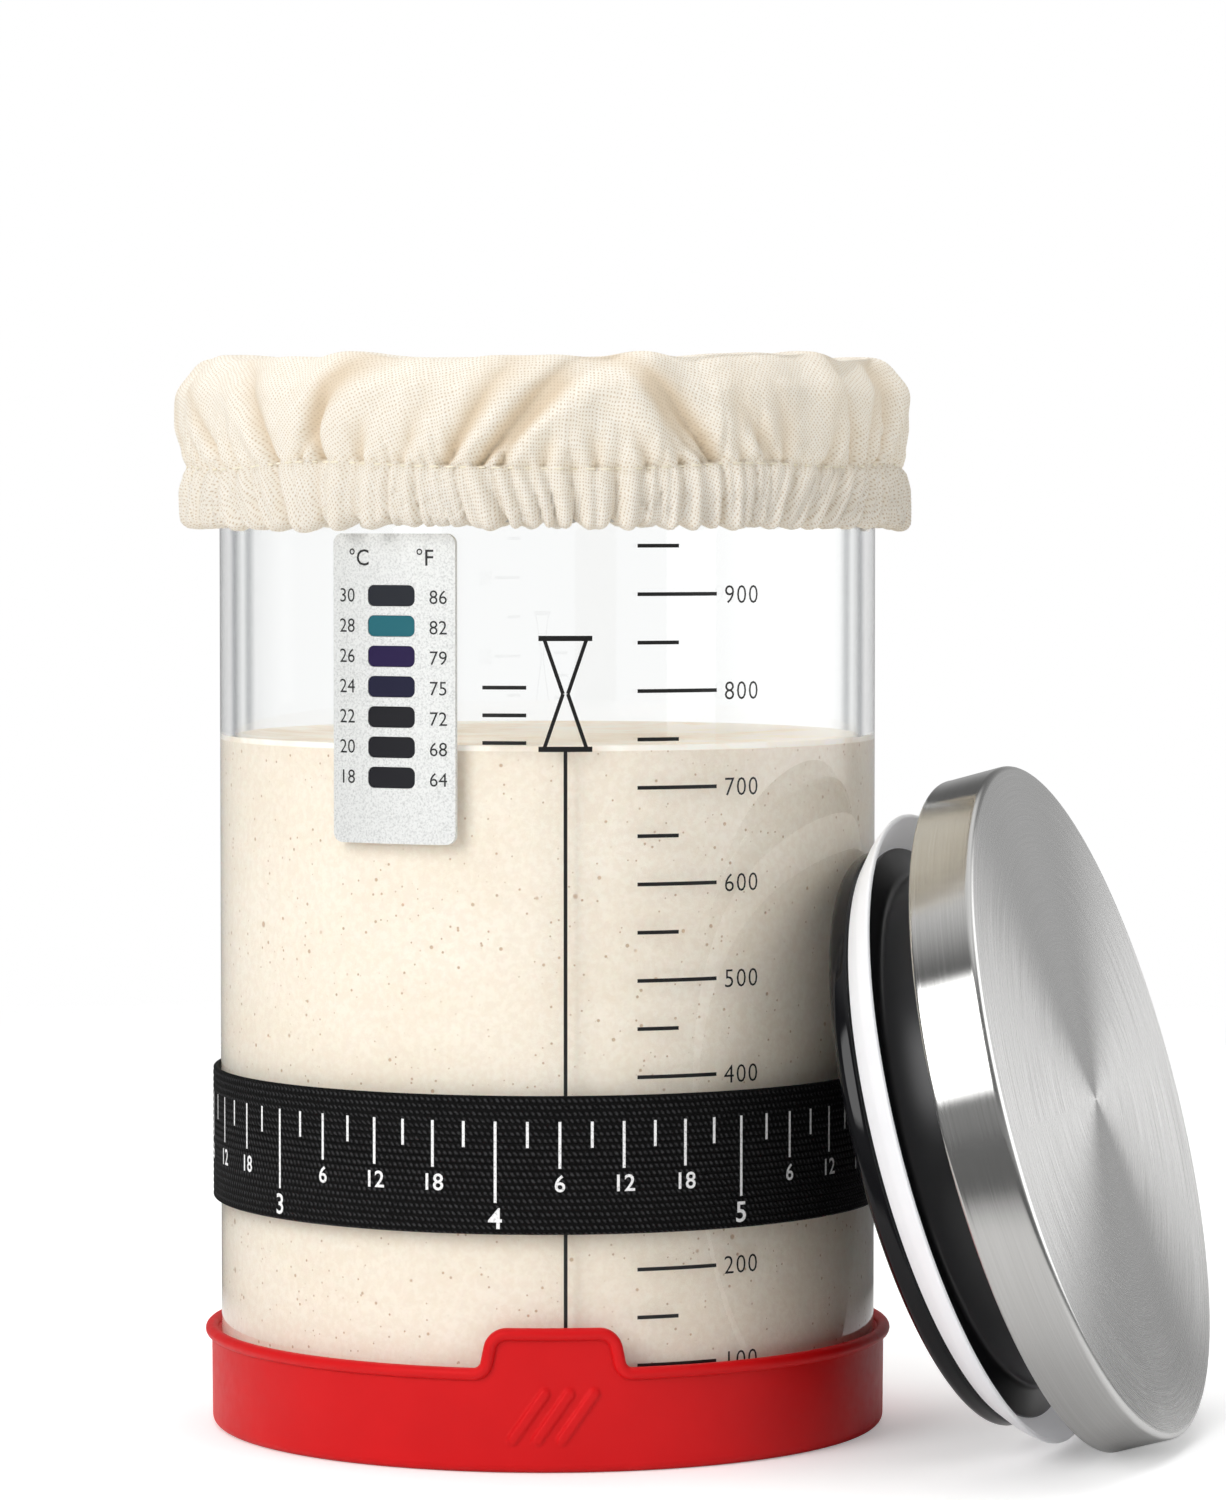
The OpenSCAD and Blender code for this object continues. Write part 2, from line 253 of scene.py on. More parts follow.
def between(tree, value, low, high, **settings):
    """0 where the value is low, 1 where it is high, and a ramp between them."""
    return node(tree, "ShaderNodeMapRange", {"Value": value, "From Min": low, "From Max": high},
                **settings).outputs[0]


def noise(tree, vector, per_mm, detail=2.0, roughness=0.5):
    """A noise from 0 to 1 with its features per millimetre, for coordinates in metres. On a map in
    millimetres per_mm is given times MM."""
    return node(tree, "ShaderNodeTexNoise", {"Vector": vector, "Scale": per_mm / MM,
                                             "Detail": detail, "Roughness": roughness}).outputs[0]


def mottle(tree, per_mm, low, high, detail=2.0, ends=(0.3, 0.7)):
    """A colour that wanders from low to high over the piece."""
    return ramp(tree, noise(tree, object_coords(tree), per_mm, detail), [(ends[0], low), (ends[1], high)])


def wander(tree, per_mm, detail, span, least):
    """A value that wanders up from least by at most span, for gloss that isn't all one."""
    return maths(tree, "MULTIPLY_ADD", noise(tree, object_coords(tree), per_mm, detail), span, least)


def grain_bump(tree, per_mm, detail, distance, strength):
    """A bump of plain grain, so that no surface is perfectly even."""
    return bump(tree, noise(tree, object_coords(tree), per_mm, detail), distance, strength)


def feed(shader, **sockets):
    """Links output sockets to the shader's inputs of these names."""
    for name, socket in sockets.items():
        shader.id_data.links.new(socket, shader.inputs[name.replace("_", " ")])


def mix_surface(tree, share, first, second):
    """Makes the material's surface a mix of two shaders, the second one by its share."""
    blend = node(tree, "ShaderNodeMixShader", {0: share, 1: first.outputs[0], 2: second.outputs[0]})
    tree.links.new(blend.outputs[0], tree.nodes["Material Output"].inputs["Surface"])


def finish_piece(obj, material, body, slot, *stands_for):
    """Gives a piece its material and its body, and hides the CAD nodes it stands for; slot is not used."""
    print(obj.name, "has", len(obj.data.polygons), "faces, rides on", body, "and wears", material.name)
    obj.data.materials.append(material)
    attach(obj, body)
    if stands_for:
        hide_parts(*stands_for)
    return obj


# %% [markdown]
# The camera stands 870 mm in front of the jar's axis, a little above the middle, and looks down by
# 2.45 degrees. A long lens keeps the jar's sides straight, as in the photograph.

# %% Camera
CAMERA_BACK = 870.0
CAMERA_X = 10.0
CAMERA_Z = 140.0
CAMERA_DOWN = 2.45
FOCAL_PX = 5690.0
PHOTO_H = 1500.0
SENSOR = 36.0

camera = bpy.data.cameras.new("camera")
camera.sensor_fit = "VERTICAL"
camera.sensor_height = SENSOR
camera.lens = FOCAL_PX / PHOTO_H * SENSOR
camera.clip_start = 0.01
camera_object = bpy.data.objects.new("camera", camera)
camera_object.location = (CAMERA_X * MM, -CAMERA_BACK * MM, CAMERA_Z * MM)
camera_object.rotation_euler = (math.radians(90 - CAMERA_DOWN), 0, 0)
bpy.context.collection.objects.link(camera_object)
bpy.context.scene.camera = camera_object
print("camera: a lens of", round(camera.lens), "mm")

# %% [markdown]
# The light is a product photographer's: a large soft box on the left, a weaker one on the right, one
# above, and a white surround. Steel and gloss need something dark to show their shape, so a mirror
# sees a dark surround with a bright band at the horizon and soft patches, the brightest where the
# main soft box stands. What is seen through glass is plain white, as it is for the camera.

# %% Surround
scene = bpy.context.scene
scene.view_settings.view_transform = "Standard"

WORLD_LIGHT = 0.5
DARK = 0.16
HORIZON = 0.2
# Each patch: its direction, its inner and outer angle in degrees, and its level.
PATCHES = (((-0.55, -0.69, 0.47), 16, 22, 5.0), ((0.97, 0.1, 0.22), 12, 42, 2.1),
           ((0.5, 0.86, 0.05), 10, 45, 0.1), ((0, 0.1, 1), 25, 50, 0.8))
world = bpy.data.worlds.new("surround")
world.use_nodes = True
scene.world = world
tree = world.node_tree
background = tree.nodes["Background"]
toward = node(tree, "ShaderNodeTexCoord").outputs["Generated"]


def soft_patch(centre, inner, outer):
    """1 within inner degrees of the direction centre, and 0 beyond outer degrees."""
    centre = np.array(centre) / np.linalg.norm(centre)
    near = node(tree, "ShaderNodeVectorMath", {0: toward, 1: tuple(centre)}, operation="DOT_PRODUCT")
    return between(tree, near.outputs["Value"], math.cos(math.radians(outer)),
                   math.cos(math.radians(inner)), interpolation_type="SMOOTHSTEP")


off_horizon = maths(tree, "ABSOLUTE", maths(tree, "SUBTRACT", split(tree, toward)["Z"], 0.08))
horizon = between(tree, off_horizon, 0.34, 0.02, interpolation_type="SMOOTHSTEP")
mirrored = maths(tree, "MULTIPLY_ADD", horizon, HORIZON, DARK)
for centre, inner, outer, level in PATCHES:
    mirrored = maths(tree, "MULTIPLY_ADD", soft_patch(centre, inner, outer), level, mirrored)

path = node(tree, "ShaderNodeLightPath")
strength = maths(tree, "MULTIPLY_ADD", path.outputs["Is Camera Ray"], 1 - WORLD_LIGHT, WORLD_LIGHT)
for kind, level in (("Is Glossy Ray", mirrored), ("Is Transmission Ray", 1.0)):
    strength = node(tree, "ShaderNodeMix", {0: path.outputs[kind], 2: strength, 3: level}).outputs[0]
tree.links.new(strength, background.inputs["Strength"])
background.inputs["Color"].default_value = (1, 1, 1, 1)
print("surround:", len(PATCHES), "soft patches for mirrors")

# %% [markdown]
# The floor is a white sheet that fades into the surround. It glows a little where it is seen, so
# that the picture's ground stays white. Seen from the steel it turns dark away from the jar, or its
# white would wash the metal out. A ray through glass counts as glossy too, so it is taken off.

# %% Floor
FLOOR_HALF = 1.2
FADE = (0.25, 0.75)
DIM = (0.13, 0.17)
FLOOR_WHITE = 0.93
FLOOR_DIM = -0.8
FLOOR_GLOW = 0.3

corners = np.array([[-1, -1, 0], [1, -1, 0], [1, 1, 0], [-1, 1, 0]]) * FLOOR_HALF / MM
floor = add_object("floor", corners, [[0, 1, 2, 3]], smooth=False)
material, tree, shader = new_material("floor", Roughness=0.9, Emission_Color=(1, 1, 1))
path = node(tree, "ShaderNodeLightPath")
through_glass = path.outputs["Is Transmission Ray"]
distance = node(tree, "ShaderNodeVectorMath", {0: object_coords(tree)}, operation="LENGTH").outputs["Value"]
only_glossy = maths(tree, "SUBTRACT", path.outputs["Is Glossy Ray"], through_glass)
mirror = maths(tree, "GREATER_THAN", only_glossy, 0.5)
far_mirror = maths(tree, "MULTIPLY", mirror, between(tree, distance, *DIM))
white = maths(tree, "MULTIPLY_ADD", far_mirror, FLOOR_DIM, FLOOR_WHITE)
seen = maths(tree, "MAXIMUM", path.outputs["Is Camera Ray"], through_glass)
feed(shader, Base_Color=node(tree, "ShaderNodeCombineColor", {0: white, 1: white, 2: white}).outputs[0],
     Emission_Strength=maths(tree, "MULTIPLY", seen, FLOOR_GLOW))
mix_surface(tree, between(tree, distance, *FADE), shader, node(tree, "ShaderNodeBsdfTransparent"))
floor.data.materials.append(material)
print("floor:", 2 * FLOOR_HALF, "m across")


# %% Lamps
AIM = (0.01, 0, 0.08)


def soft_box(name, place, width, height, power):
    """An area lamp at place, in metres, that faces the jar. Mirrors see the surround's soft patch
    in its stead, because a lamp's square edges would show in the glass."""
    lamp = bpy.data.lights.new(name, "AREA")
    lamp.shape = "RECTANGLE"
    lamp.size, lamp.size_y, lamp.energy = width, height, power
    obj = bpy.data.objects.new(name, lamp)
    obj.location = place
    x, y, z = np.array(AIM) - np.array(place)
    obj.rotation_euler = (math.atan2(math.hypot(x, y), -z), 0, math.atan2(y, x) - math.pi / 2)
    obj.visible_glossy = False
    bpy.context.collection.objects.link(obj)
    print("lamp:", name, power, "W")


soft_box("key", (-0.75, -0.85, 0.55), 0.6, 0.8, 8.6)
soft_box("fill", (0.9, -0.7, 0.35), 0.4, 0.8, 1.5)
soft_box("top", (0.0, 0.1, 1.1), 0.8, 0.8, 5.0)

# %% [markdown]
# Glass bends light, but in Cycles it also blocks lamps from what is inside. So shadow rays and the
# rays of diffuse light pass straight through, and the starter is lit as it is in a real jar. Where
# the jar is empty, its colour changes with the angle at which the wall is seen: painted reflections,
# which draw the dark and the bright lines along the sides.

# %% Glass jar
CLEAR = (0.99, 0.995, 0.993)
# The colour of the painted dark reflection lines along the glass's sides.
PAINTED_EDGE_LINE = (0.25, 0.26, 0.27)

glass_material, tree, shader = new_material("jar_glass", Roughness=0.0, IOR=1.5, Transmission_Weight=1.0)
facing = node(tree, "ShaderNodeLayerWeight").outputs["Facing"]
# Painted reflections by the angle of the wall: a dark line, then a bright one, towards its edges.
painted_edge_lines = ramp(tree, facing, [(0.5, CLEAR), (0.64, (0.84, 0.85, 0.85)), (0.69, PAINTED_EDGE_LINE), (0.715, PAINTED_EDGE_LINE),
                            (0.76, (0.9, 0.91, 0.91)), (0.93, (0.95, 0.96, 0.96)),
                            (1.0, (0.5, 0.51, 0.51))])
empty = maths(tree, "GREATER_THAN", split(tree, object_coords(tree))["Z"], STARTER_Z * MM)
feed(shader, Base_Color=mix_colour(tree, empty, CLEAR, painted_edge_lines))
path = node(tree, "ShaderNodeLightPath")
straight = maths(tree, "MAXIMUM", path.outputs["Is Shadow Ray"], path.outputs["Is Diffuse Ray"])
mix_surface(tree, straight, shader,
            node(tree, "ShaderNodeBsdfTransparent", {"Color": (0.975, 0.98, 0.975, 1)}))

glass_profile = rounded_path([
    (0, BOOT_FLOOR, 0), (JAR_R, BOOT_FLOOR, BOTTOM_ROUND), (JAR_R, RIM_Z, WALL * 0.49),
    (INNER_R, RIM_Z, WALL * 0.49), (INNER_R, INNER_Z, BOTTOM_ROUND - WALL), (0, INNER_Z, 0)], steps=10)
glass = lathe("glass_body", glass_profile, 320)
finish_piece(glass, glass_material, "jar", "glass", "glass_jar")

# %% [markdown]
# The starter wets the glass, so its skin reaches a hair into the wall: with a film of air between
# them the glass would mirror at its edges. Its top sinks a little towards the middle. Specks of bran
# and burst bubbles are scattered by cell noise in three sizes. The froth on top has paler swirls and
# a faint painted glow, which stands in for the light that reaches it under the cover.

# %% Starter
WET = 0.06
LEVEL_DIP = 0.8
FROTH = (STARTER_Z - 0.95, STARTER_Z - 0.75)
# The strength of the painted glow on the starter's top.
PAINTED_TOP_GLOW = 0.14

inward = np.linspace(0.05, 1, 40) ** 2
starter_profile = np.concatenate([
    rounded_path([(0, INNER_Z, 0), (INNER_R + WET, INNER_Z - WET, BOTTOM_ROUND - WALL),
                  (INNER_R + WET, STARTER_Z, 0)], steps=8),
    np.stack([(INNER_R + WET) * (1 - inward), STARTER_Z - LEVEL_DIP * (1 - np.exp(-8 * inward))], 1)])
starter = lathe("starter_body", starter_profile, 256)
material, tree, shader = new_material("starter", Roughness=0.55, Subsurface_Weight=0.12,
                                      Subsurface_Scale=0.004)
coords = object_coords(tree)
stretched = node(tree, "ShaderNodeMapping", {"Vector": coords, "Scale": (1, 1, 2.2)}).outputs[0]
clouds = noise(tree, stretched, 0.035, 4)
colour = ramp(tree, clouds, [(0.3, (0.885, 0.795, 0.66)), (0.7, (0.945, 0.87, 0.755))])
specks = []
for per_mm, size in ((0.22, 0.11), (0.5, 0.17), (0.9, 0.22)):
    cells = node(tree, "ShaderNodeTexVoronoi", {"Vector": coords, "Scale": per_mm / MM})
    pick = node(tree, "ShaderNodeSeparateColor", {0: cells.outputs["Color"]}).outputs[0]
    radius = maths(tree, "MULTIPLY", maths(tree, "POWER", pick, 2.4), size)
    inside = maths(tree, "SUBTRACT", radius, cells.outputs["Distance"])
    specks.append(between(tree, inside, -0.01, 0.04))
speck = maths(tree, "MAXIMUM", specks[0], maths(tree, "MAXIMUM", *specks[1:]))
colour = mix_colour(tree, maths(tree, "MULTIPLY", speck, 0.7), colour, (0.46, 0.27, 0.14))
mealy = noise(tree, coords, 0.9, 3, 0.7)
grainy = ramp(tree, mealy, [(0.42, (0.2, 0.2, 0.2)), (0.6, (0, 0, 0))])
colour = mix_colour(tree, grainy, colour, (0.72, 0.56, 0.42))
froth_and_glow = between(tree, split(tree, coords)["Z"], FROTH[0] * MM, FROTH[1] * MM)
eddies = ramp(tree, noise(tree, coords, 0.09, 4, 0.6),
              [(0.36, (0.86, 0.76, 0.64)), (0.56, (0.95, 0.91, 0.84))])
colour = mix_colour(tree, froth_and_glow, colour, eddies)
relief = maths(tree, "SUBTRACT", noise(tree, coords, 0.5, 3), speck)
# The top band gets its paler swirls and a painted glow from the same mask.
feed(shader, Base_Color=colour, Emission_Color=colour, Normal=bump(tree, relief, 0.15, 0.5),
     Emission_Strength=maths(tree, "MULTIPLY", froth_and_glow, PAINTED_TOP_GLOW))
finish_piece(starter, material, "jar", "starter", "starter")

# %% [markdown]
# Print is a thin layer of ink: flat outlines wrapped on to the cylinder. Lines are cut into short
# pieces first, so that they bend with the glass. Figures come from Blender's own font, made a mesh
# and wrapped in the same way.

# %% Ink helpers
FONT_CAP = 0.73


class Ink:
    """Collects flat outlines in millimetres, wraps them round the jar and makes one mesh."""

    def __init__(self, radius):
        self.radius, self.points, self.faces, self.count = radius, [], [], 0

    def add(self, flat, faces, angle, height):
        """flat is an array of (sideways, up) points about a place on the jar."""
        turn = math.radians(angle) + flat[:, 0] / self.radius
        self.points.append(round_jar(self.radius, turn, height + flat[:, 1]))
        self.faces += [[i + self.count for i in f] for f in faces]
        self.count += len(flat)

    def line(self, a, b, width, angle=0.0, height=0.0):
        """A straight stroke from a to b, cut every half millimetre."""
        a, b = np.array(a, float), np.array(b, float)
        length = np.linalg.norm(b - a)
        steps = max(2, int(length / 0.5) + 1)
        t = np.linspace(0, 1, steps)[:, None]
        side = np.array([-(b - a)[1], (b - a)[0]]) / length * width / 2
        centre = a + (b - a) * t
        flat = np.concatenate([centre - side, centre + side])
        faces = [[i, i + 1, steps + i + 1, steps + i] for i in range(steps - 1)]
        self.add(flat, faces, angle, height)

    def text(self, words, size, angle, height, thin=0.0, align="CENTER", spacing=1.0):
        """Figures of a height of size millimetres, centred on their place or starting from it. thin
        takes a little off their strokes. FONT_CAP is the height of the font's own capitals."""
        curve = bpy.data.curves.new("figures", "FONT")
        curve.body, curve.size, curve.align_x, curve.offset = words, 1.0, align, -thin
        curve.resolution_u, curve.space_character = 3, spacing
        made = bpy.data.objects.new("figures", curve)
        bpy.context.collection.objects.link(made)
        mesh = bpy.data.meshes.new_from_object(made.evaluated_get(bpy.context.evaluated_depsgraph_get()))
        flat = np.empty(len(mesh.vertices) * 3)
        mesh.vertices.foreach_get("co", flat)
        faces = [list(p.vertices) for p in mesh.polygons]
        bpy.data.objects.remove(made)
        bpy.data.curves.remove(curve)
        bpy.data.meshes.remove(mesh)
        flat = flat.reshape(-1, 3)[:, :2]
        self.add((flat - [0, FONT_CAP / 2]) / FONT_CAP * size, faces, angle, height)

    def build(self, name):
        return add_object(name, np.concatenate(self.points), self.faces, smooth=False)


def ink_material(name, colour, roughness):
    """Ink whose gloss isn't all one."""
    material, tree, shader = new_material(name, Base_Color=colour)
    feed(shader, Roughness=wander(tree, 0.8, 3, 0.2, roughness - 0.1))
    return material


# %% Printed scale on the glass
SCALE_LOW = 15.35
SCALE_PITCH = 14.0
LINES_AZ = 15.7
MAJOR_AZ = 30.1
MINOR_AZ = 23.0
FIGURE_AZ = 31.5
FIGURE_H = 2.8
LINE_W = 0.55
INK_R = JAR_R + 0.04

black_ink = ink_material("black_ink", (0.006, 0.006, 0.006), 0.5)
ink = Ink(INK_R)
for step in range(18):
    z = SCALE_LOW + step * SCALE_PITCH / 2
    major = step % 2 == 0
    length = math.radians((MAJOR_AZ if major else MINOR_AZ) - LINES_AZ) * JAR_R
    ink.line((0, 0), (length, 0), LINE_W, LINES_AZ, z)
    if major:
        ink.text(str(50 * step + 100), FIGURE_H, FIGURE_AZ, z, thin=0.006, align="LEFT", spacing=1.12)

# %% Hourglass on its stem, and three rules beside it
STEM_AZ = 3.6
STEM_TOP = 105.0
STEM_LOW = 16.0
HOURGLASS_W = 6.2
HOURGLASS_H = 16.0
WAIST = 0.35
CAP_OVER = 0.8
RULE_AZ = -10.2
RULE_L = 6.4
RULE_Z = 113.9
RULE_GAP = 4.0

stem = Ink(INK_R)
stem.line((0, STEM_LOW), (0, STEM_TOP), LINE_W, STEM_AZ)
half_w, top = HOURGLASS_W / 2, STEM_TOP + HOURGLASS_H
for side in (-1, 1):
    waist = (side * WAIST, STEM_TOP + HOURGLASS_H / 2)
    stem.line((side * half_w, top), waist, LINE_W, STEM_AZ)
    stem.line(waist, (side * half_w, STEM_TOP), LINE_W, STEM_AZ)
for z in (STEM_TOP, top):
    stem.line((-half_w - CAP_OVER, z), (half_w + CAP_OVER, z), LINE_W * 1.4, STEM_AZ)
for k in range(3):
    stem.line((0, 0), (RULE_L, 0), LINE_W, RULE_AZ, RULE_Z - k * RULE_GAP)
finish_piece(ink.build("printed_scale"), black_ink, "jar", "plug_black")
finish_piece(stem.build("printed_stem"), black_ink, "jar", "plug_black")

# %% [markdown]
# The strip thermometer keeps its CAD shape, which already follows the glass. Its film gets the fine
# silver grain of printed foil, and the cells get their colours by height: on the real strip the cell
# at the room's temperature turns teal, the next one violet, and the others stay near black.

# %% Thermometer
STRIP_AZ = -26.0
STRIP_TOP = 136.1
CELL_DROP = 9.0
CELL_PITCH = 4.4
STRIP_R = JAR_R + 0.65
ROWS = ((30, 86), (28, 82), (26, 79), (24, 75), (22, 72), (20, 68), (18, 64))


def repaint(name, material):
    """A CAD node keeps its shape and gets this material."""
    print(name, "keeps its CAD shape and wears", material.name)
    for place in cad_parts[name].material_slots:
        place.material = material


material, tree, shader = new_material("silver_film", Metallic=0.3)
grain = noise(tree, object_coords(tree), 3.2, 3, 0.65)
feed(shader, Base_Color=ramp(tree, grain, [(0.3, (0.58, 0.59, 0.58)), (0.55, (0.83, 0.84, 0.825))]),
     Roughness=maths(tree, "MULTIPLY_ADD", grain, 0.3, 0.3), Normal=bump(tree, grain, 0.03, 0.6))
repaint("thermometer_strip", material)

material, tree, shader = new_material("liquid_crystal", Roughness=0.5, Specular_IOR_Level=0.2)
cells_top = (STRIP_TOP - CELL_DROP + CELL_PITCH / 2) * MM
drop = maths(tree, "SUBTRACT", cells_top, split(tree, object_coords(tree))["Z"])
row = maths(tree, "DIVIDE", drop, len(ROWS) * CELL_PITCH * MM)
CELL_COLOURS = ((0.02, 0.022, 0.028), (0.02, 0.125, 0.155), (0.02, 0.012, 0.055),
                (0.014, 0.014, 0.035), (0.014, 0.014, 0.017))
stops = [(k / len(ROWS), colour) for k, colour in enumerate(CELL_COLOURS)]
feed(shader, Base_Color=ramp(tree, row, stops, "CONSTANT"),
     Normal=grain_bump(tree, 3.0, 2, 0.02, 0.3))
repaint("thermometer_cells", material)

material, tree, shader = new_material("clear_adhesive", Base_Color=(0.8, 0.8, 0.78))
feed(shader, Roughness=wander(tree, 1.0, 2.0, 0.2, 0.4))
repaint("thermometer_adhesive", material)

# %% Figures on the strip
FIGURE_SIDE = math.degrees(7.4 / JAR_R)
ROW_FIGURE_H = 2.1
LETTER_H = 2.45
LETTER_DROP = 3.4

figures = Ink(STRIP_R + 0.02)
for k, pair in enumerate(ROWS):
    z = STRIP_TOP - CELL_DROP - k * CELL_PITCH
    for value, side in zip(pair, (-1, 1)):
        figures.text(str(value), ROW_FIGURE_H, STRIP_AZ + side * FIGURE_SIDE, z - side * 0.12, thin=0.003)
for letter, side in (("\u00b0C", -1), ("\u00b0F", 1)):
    angle = STRIP_AZ + side * FIGURE_SIDE * 0.72
    figures.text(letter, LETTER_H, angle, STRIP_TOP - LETTER_DROP, thin=-0.004)
finish_piece(figures.build("strip_figures"), ink_material("strip_ink", (0.012, 0.012, 0.012), 0.5),
             "jar", "plug_black")

# %% [markdown]
# The boot is one wall of silicone whose top edge rises over a finger tab in front. The edge is a
# path on the cylinder; each column of the wall climbs to it, and a round bead is carried along it.
# Three slanted grip ribs are raised in the same grid of points.

# %% Base boot
BOOT_R = 51.5
BOOT_INSIDE = JAR_R + 0.12
BOOT_H = 15.4
TAB_Z = 21.3
TAB_W = 19.4
TAB_AZ = 1.5
BEAD = 0.95
BOOT_ROUND = 1.4
DRAFT = 0.1
RIB_L = 10.0
RIB_W = 1.8
RIB_RISE = 0.5
RIB_SLANT = 35.0
RIB_GAP = 3.6
RIB_Z = BOOT_H / 2 + 0.6

round_trip = math.pi * BOOT_R
low, high = BOOT_H - BEAD, TAB_Z - BEAD
outline = rounded_path([
    (-round_trip, low, 0), (-TAB_W / 2 - 0.3, low, 2.0), (-TAB_W / 2 + 0.9, high, 2.6),
    (TAB_W / 2 - 0.9, high, 2.6), (TAB_W / 2 + 0.3, low, 2.0), (round_trip, low, 0)], steps=14)
length = run_along(outline)
fine = length[-1] / 2 + np.linspace(-17, 17, 150)
coarse = np.linspace(0, 1, 110)[1:-1]
stops = np.sort(np.concatenate([[0], fine[0] * coarse, fine, fine[-1] + (length[-1] - fine[-1]) * coarse]))
edge = np.stack([np.interp(stops, length, outline[:, k]) for k in (0, 1)], 1)
edge_turn = math.radians(TAB_AZ) + edge[:, 0] / BOOT_R
print("boot: top edge of", len(edge), "points, finest at the tab")


# %% The boot's wall with its ribs
def rib_height(sideways, up):
    """How far a point of the wall stands out for the ribs: a smooth bank round each rib's middle
    line, from its distance to that line."""
    slant = math.radians(RIB_SLANT)
    rise = np.zeros(np.broadcast(sideways, up).shape)
    for k in (-1, 0, 1):
        x, z = sideways - k * RIB_GAP, up - RIB_Z
        along = x * math.sin(slant) + z * math.cos(slant)
        across = x * math.cos(slant) - z * math.sin(slant)
        over = np.maximum(np.abs(along) - (RIB_L - RIB_W) / 2, 0)
        gap = np.hypot(across, over)
        rise += RIB_RISE * np.clip(1.4 * (1 - (gap / (RIB_W / 2)) ** 2), 0, 1) ** 0.8
    return rise


INSIDE_LOW = 2.6
climb = np.linspace(0, 1, 64)[:, None]
wall_z = BOOT_ROUND + climb * (edge[None, :, 1] - BOOT_ROUND)
wall_r = BOOT_R - DRAFT * (1 - climb) + rib_height(edge[None, :, 0], wall_z)
corner = np.linspace(-math.pi / 2, 0, 8, endpoint=False)[:, None]
zeros = np.zeros((1, len(edge)))
foot_r = BOOT_R - DRAFT - BOOT_ROUND + BOOT_ROUND * np.cos(corner) + zeros
foot_z = BOOT_ROUND + BOOT_ROUND * np.sin(corner) + zeros
flat_r = np.array([0, 20, 40])[:, None] + zeros
down = np.linspace(1, 0, 6)[:, None]
inside_z = INSIDE_LOW + down * (edge[None, :, 1] - INSIDE_LOW)
floor_r = np.array([BOOT_INSIDE - 1.2, 20, 0])[:, None] + zeros
radius = np.concatenate([flat_r, foot_r, wall_r, BOOT_INSIDE + 0 * inside_z, floor_r])
height = np.concatenate([0 * flat_r, foot_z, wall_z, inside_z, 0 * floor_r + BOOT_FLOOR - 0.02])
boot = surface("boot_wall", round_jar(radius, edge_turn[None, :], height),
               np.append(stops, length[-1]), np.arange(len(radius)), wrap_columns=True)

# %% The bead along the boot's edge, and silicone
tangent = np.gradient(edge, axis=0)
tangent /= np.linalg.norm(tangent, axis=1)[:, None]
phi = circle(20)[:, None]
bead_r = BOOT_R + BEAD * np.cos(phi) + 0 * edge[None, :, 0]
bead_s = edge[None, :, 0] - tangent[None, :, 1] * BEAD * np.sin(phi)
bead_z = edge[None, :, 1] + tangent[None, :, 0] * BEAD * np.sin(phi)
bead = surface("boot_bead", round_jar(bead_r, math.radians(TAB_AZ) + bead_s / BOOT_R, bead_z),
               np.append(stops, length[-1]), np.arange(21), wrap_rows=True, wrap_columns=True)

material, tree, shader = new_material("red_silicone", Subsurface_Weight=0.1, Subsurface_Scale=0.002,
                                      Specular_IOR_Level=0.22)
feed(shader, Base_Color=mottle(tree, 0.05, (0.56, 0.004, 0.006), (0.63, 0.006, 0.008), 3),
     Roughness=wander(tree, 0.6, 4, 0.18, 0.36),
     Normal=grain_bump(tree, 2.5, 3, 0.015, 0.5))
finish_piece(boot, material, "boot", "boot_silicone", "base_boot")
finish_piece(bead, material, "boot", "boot_silicone")

# %% [markdown]
# The band is woven in rows. The rows are real relief in the profile, and the small stitches in each
# row are a bump on the band's own map, whose units are millimetres.

# %% Time band
BAND_LOW = 34.7
BAND_W = 20.2
BAND_R = JAR_R + 1.2
ROW = 1.03
ROW_DEPTH = 0.16
EDGE_ROUND = 0.5

across = np.linspace(0, 1, 200)
near_edge = np.clip(1 - np.minimum(across, 1 - across) * BAND_W / EDGE_ROUND, 0, 1)
rounding = EDGE_ROUND * (1 - np.sqrt(1 - near_edge ** 2))
furrows = ROW_DEPTH * (1 - np.abs(np.sin(math.pi * across * BAND_W / ROW))) ** 2
front = np.stack([BAND_R - rounding - furrows, BAND_LOW + across * BAND_W], 1)
back = np.stack([np.full(4, JAR_R + 0.18), BAND_LOW + BAND_W * np.array([0.98, 0.7, 0.3, 0.02])], 1)
band = lathe("band_weave", np.concatenate([front, back]), 400, closed=True)


# %% Woven elastic
def map_group(name, *outputs):
    """A node group that reads a Map in millimetres and gives numbers: the group, its map, its end."""
    group = bpy.data.node_groups.new(name, "ShaderNodeTree")
    group.interface.new_socket("Map", in_out="INPUT", socket_type="NodeSocketVector")
    for output in outputs:
        group.interface.new_socket(output, in_out="OUTPUT", socket_type="NodeSocketFloat")
    return group, group.nodes.new("NodeGroupInput").outputs[0], group.nodes.new("NodeGroupOutput")


def half_turns(tree, kind, turns):
    """The SINE or COSINE of a number of half turns."""
    return maths(tree, kind, maths(tree, "MULTIPLY", turns, math.pi))


